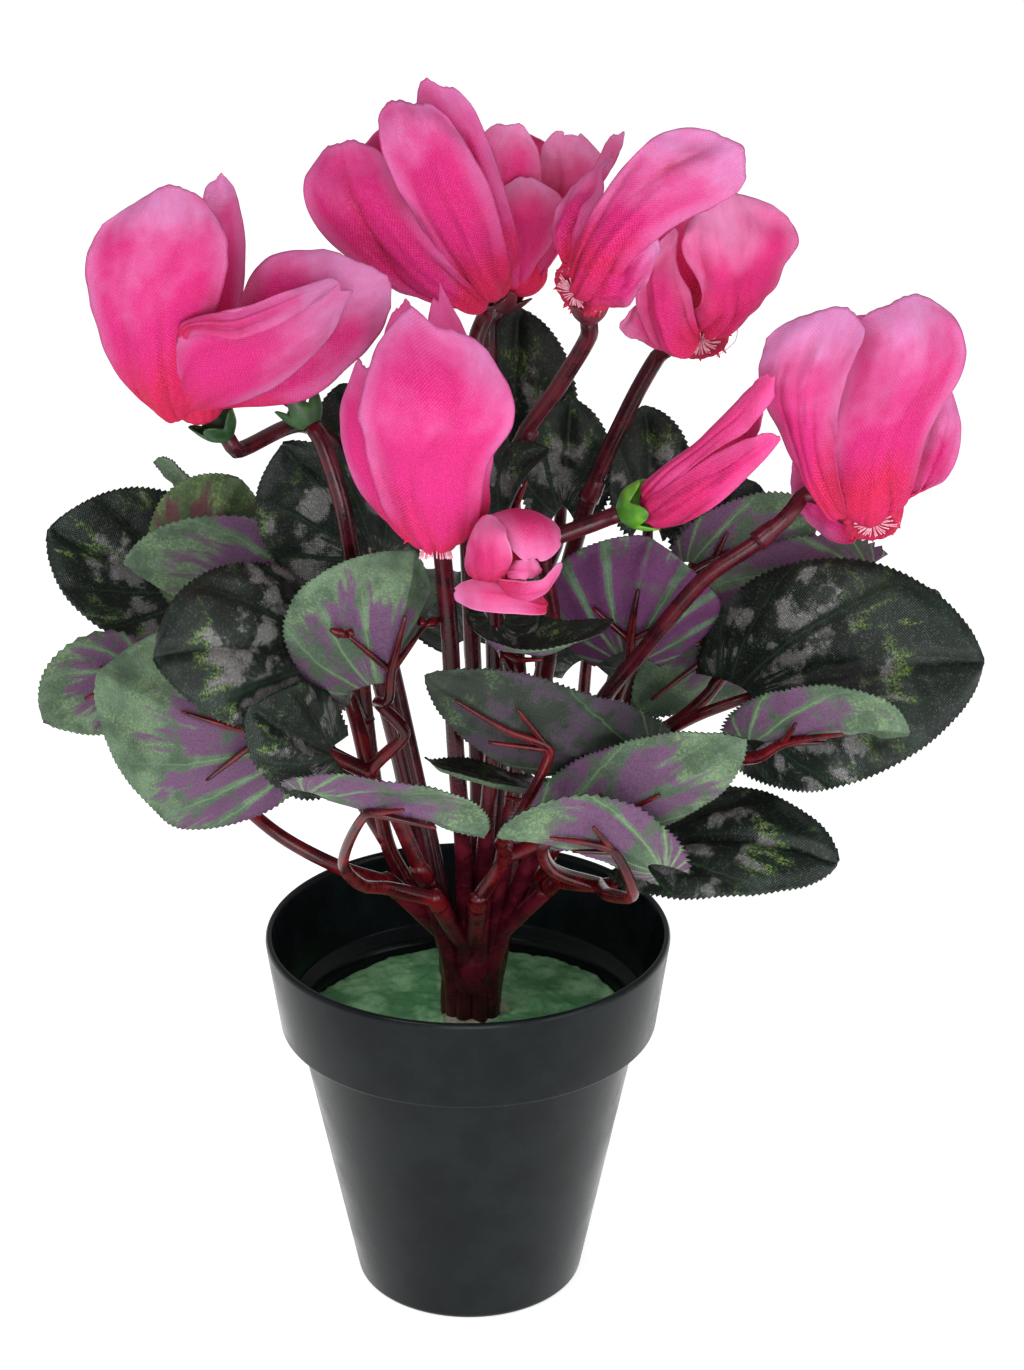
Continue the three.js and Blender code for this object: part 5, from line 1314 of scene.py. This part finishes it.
angles = np.arange(FOAM_SIDES) * 2 * math.pi / FOAM_SIDES
rings = []
for i, radius in enumerate(np.linspace(FOAM_HOLE, FOAM_EDGE, FOAM_RINGS)):
    rings.append(level_ring(*TRUNK * (1 - (i / (FOAM_RINGS - 1)) ** 0.7), radius, FOAM_TOP, angles))
top = np.array(rings)
top[..., 2] += 1.6 * noise_grid(top, 0.08, 1) + 0.9 * noise_grid(top, 0.35, 2)
wall = [level_ring(0, 0, radius, z, angles) for radius, z in FOAM_WALL]
batch = Batch()
batch.add(np.concatenate([*top, *wall]), band(FOAM_RINGS + len(wall), FOAM_SIDES, "adcb"))
turned(batch, GLUE_COLLAR, *TRUNK, 60, finish=1,
       ripple=lambda a: 1 + 0.08 * np.sin(3 * a + 1) + 0.04 * np.sin(7 * a))
batch.piece("foam_block", ["foam_filler"], "foam", [foam_plastic, glue])
print("pot and foam made")

# %% [markdown]
# ## Floor and light
# The plant stands on a plain pale floor under soft studio light: an even white surround and three
# large soft lamps, one from the upper left, one from the front and one from the right. The floor
# is matte paper, and it glows a little, so that it stays white in the plant's shadow as a lit
# backdrop does.

# %% Floor
FLOOR_HALF = 4.0
bpy.context.scene.view_settings.view_transform = "Standard"
floor_mesh = bpy.data.meshes.new("floor")
corners = [(x * FLOOR_HALF, y * FLOOR_HALF, 0) for x, y in ((-1, -1), (1, -1), (1, 1), (-1, 1))]
floor_mesh.from_pydata(corners, [], [(0, 1, 2, 3)])
floor = bpy.data.objects.new("floor", floor_mesh)
floor_finish, node = material("matte_white_paper")
fibre = node("TexNoise", {"Vector": node("TexCoord", out="Object"), "Scale": 400.0})
paper = node("BsdfPrincipled", {
    "Base Color": inked(node, colour("#F4F4F4"), [("#FAFAFA", fibre)]), "Roughness": 0.9,
    "Emission Color": (1, 1, 1, 1), "Emission Strength": 0.62,
})
node("OutputMaterial", paper, out=None)
floor_mesh.materials.append(floor_finish)
bpy.context.scene.collection.objects.link(floor)

# %% Lights
world = bpy.data.worlds.new("white_surround")
bpy.context.scene.world = world
world.use_nodes = True
world.node_tree.nodes.clear()
surround = add(world.node_tree, "Background", {"Color": (1, 1, 1, 1), "Strength": 0.45})
add(world.node_tree, "OutputWorld", surround, out=None)


def soft_lamp(name, place, size, power):
    light = bpy.data.lights.new(name, "AREA")
    light.size, light.energy = size, power
    lamp = bpy.data.objects.new(name, light)
    lamp.location = place
    lamp.rotation_euler = (AIM - Vector(place)).to_track_quat("-Z", "Y").to_euler()
    bpy.context.scene.collection.objects.link(lamp)


soft_lamp("key_lamp", (-0.8, -1.1, 1.3), size=0.5, power=7)
soft_lamp("front_lamp", (0.1, -1.35, 0.3), size=0.8, power=11.5)
soft_lamp("side_lamp", (1.1, -0.8, 0.3), size=0.8, power=6)
print(len(bpy.data.lights), "lamps")
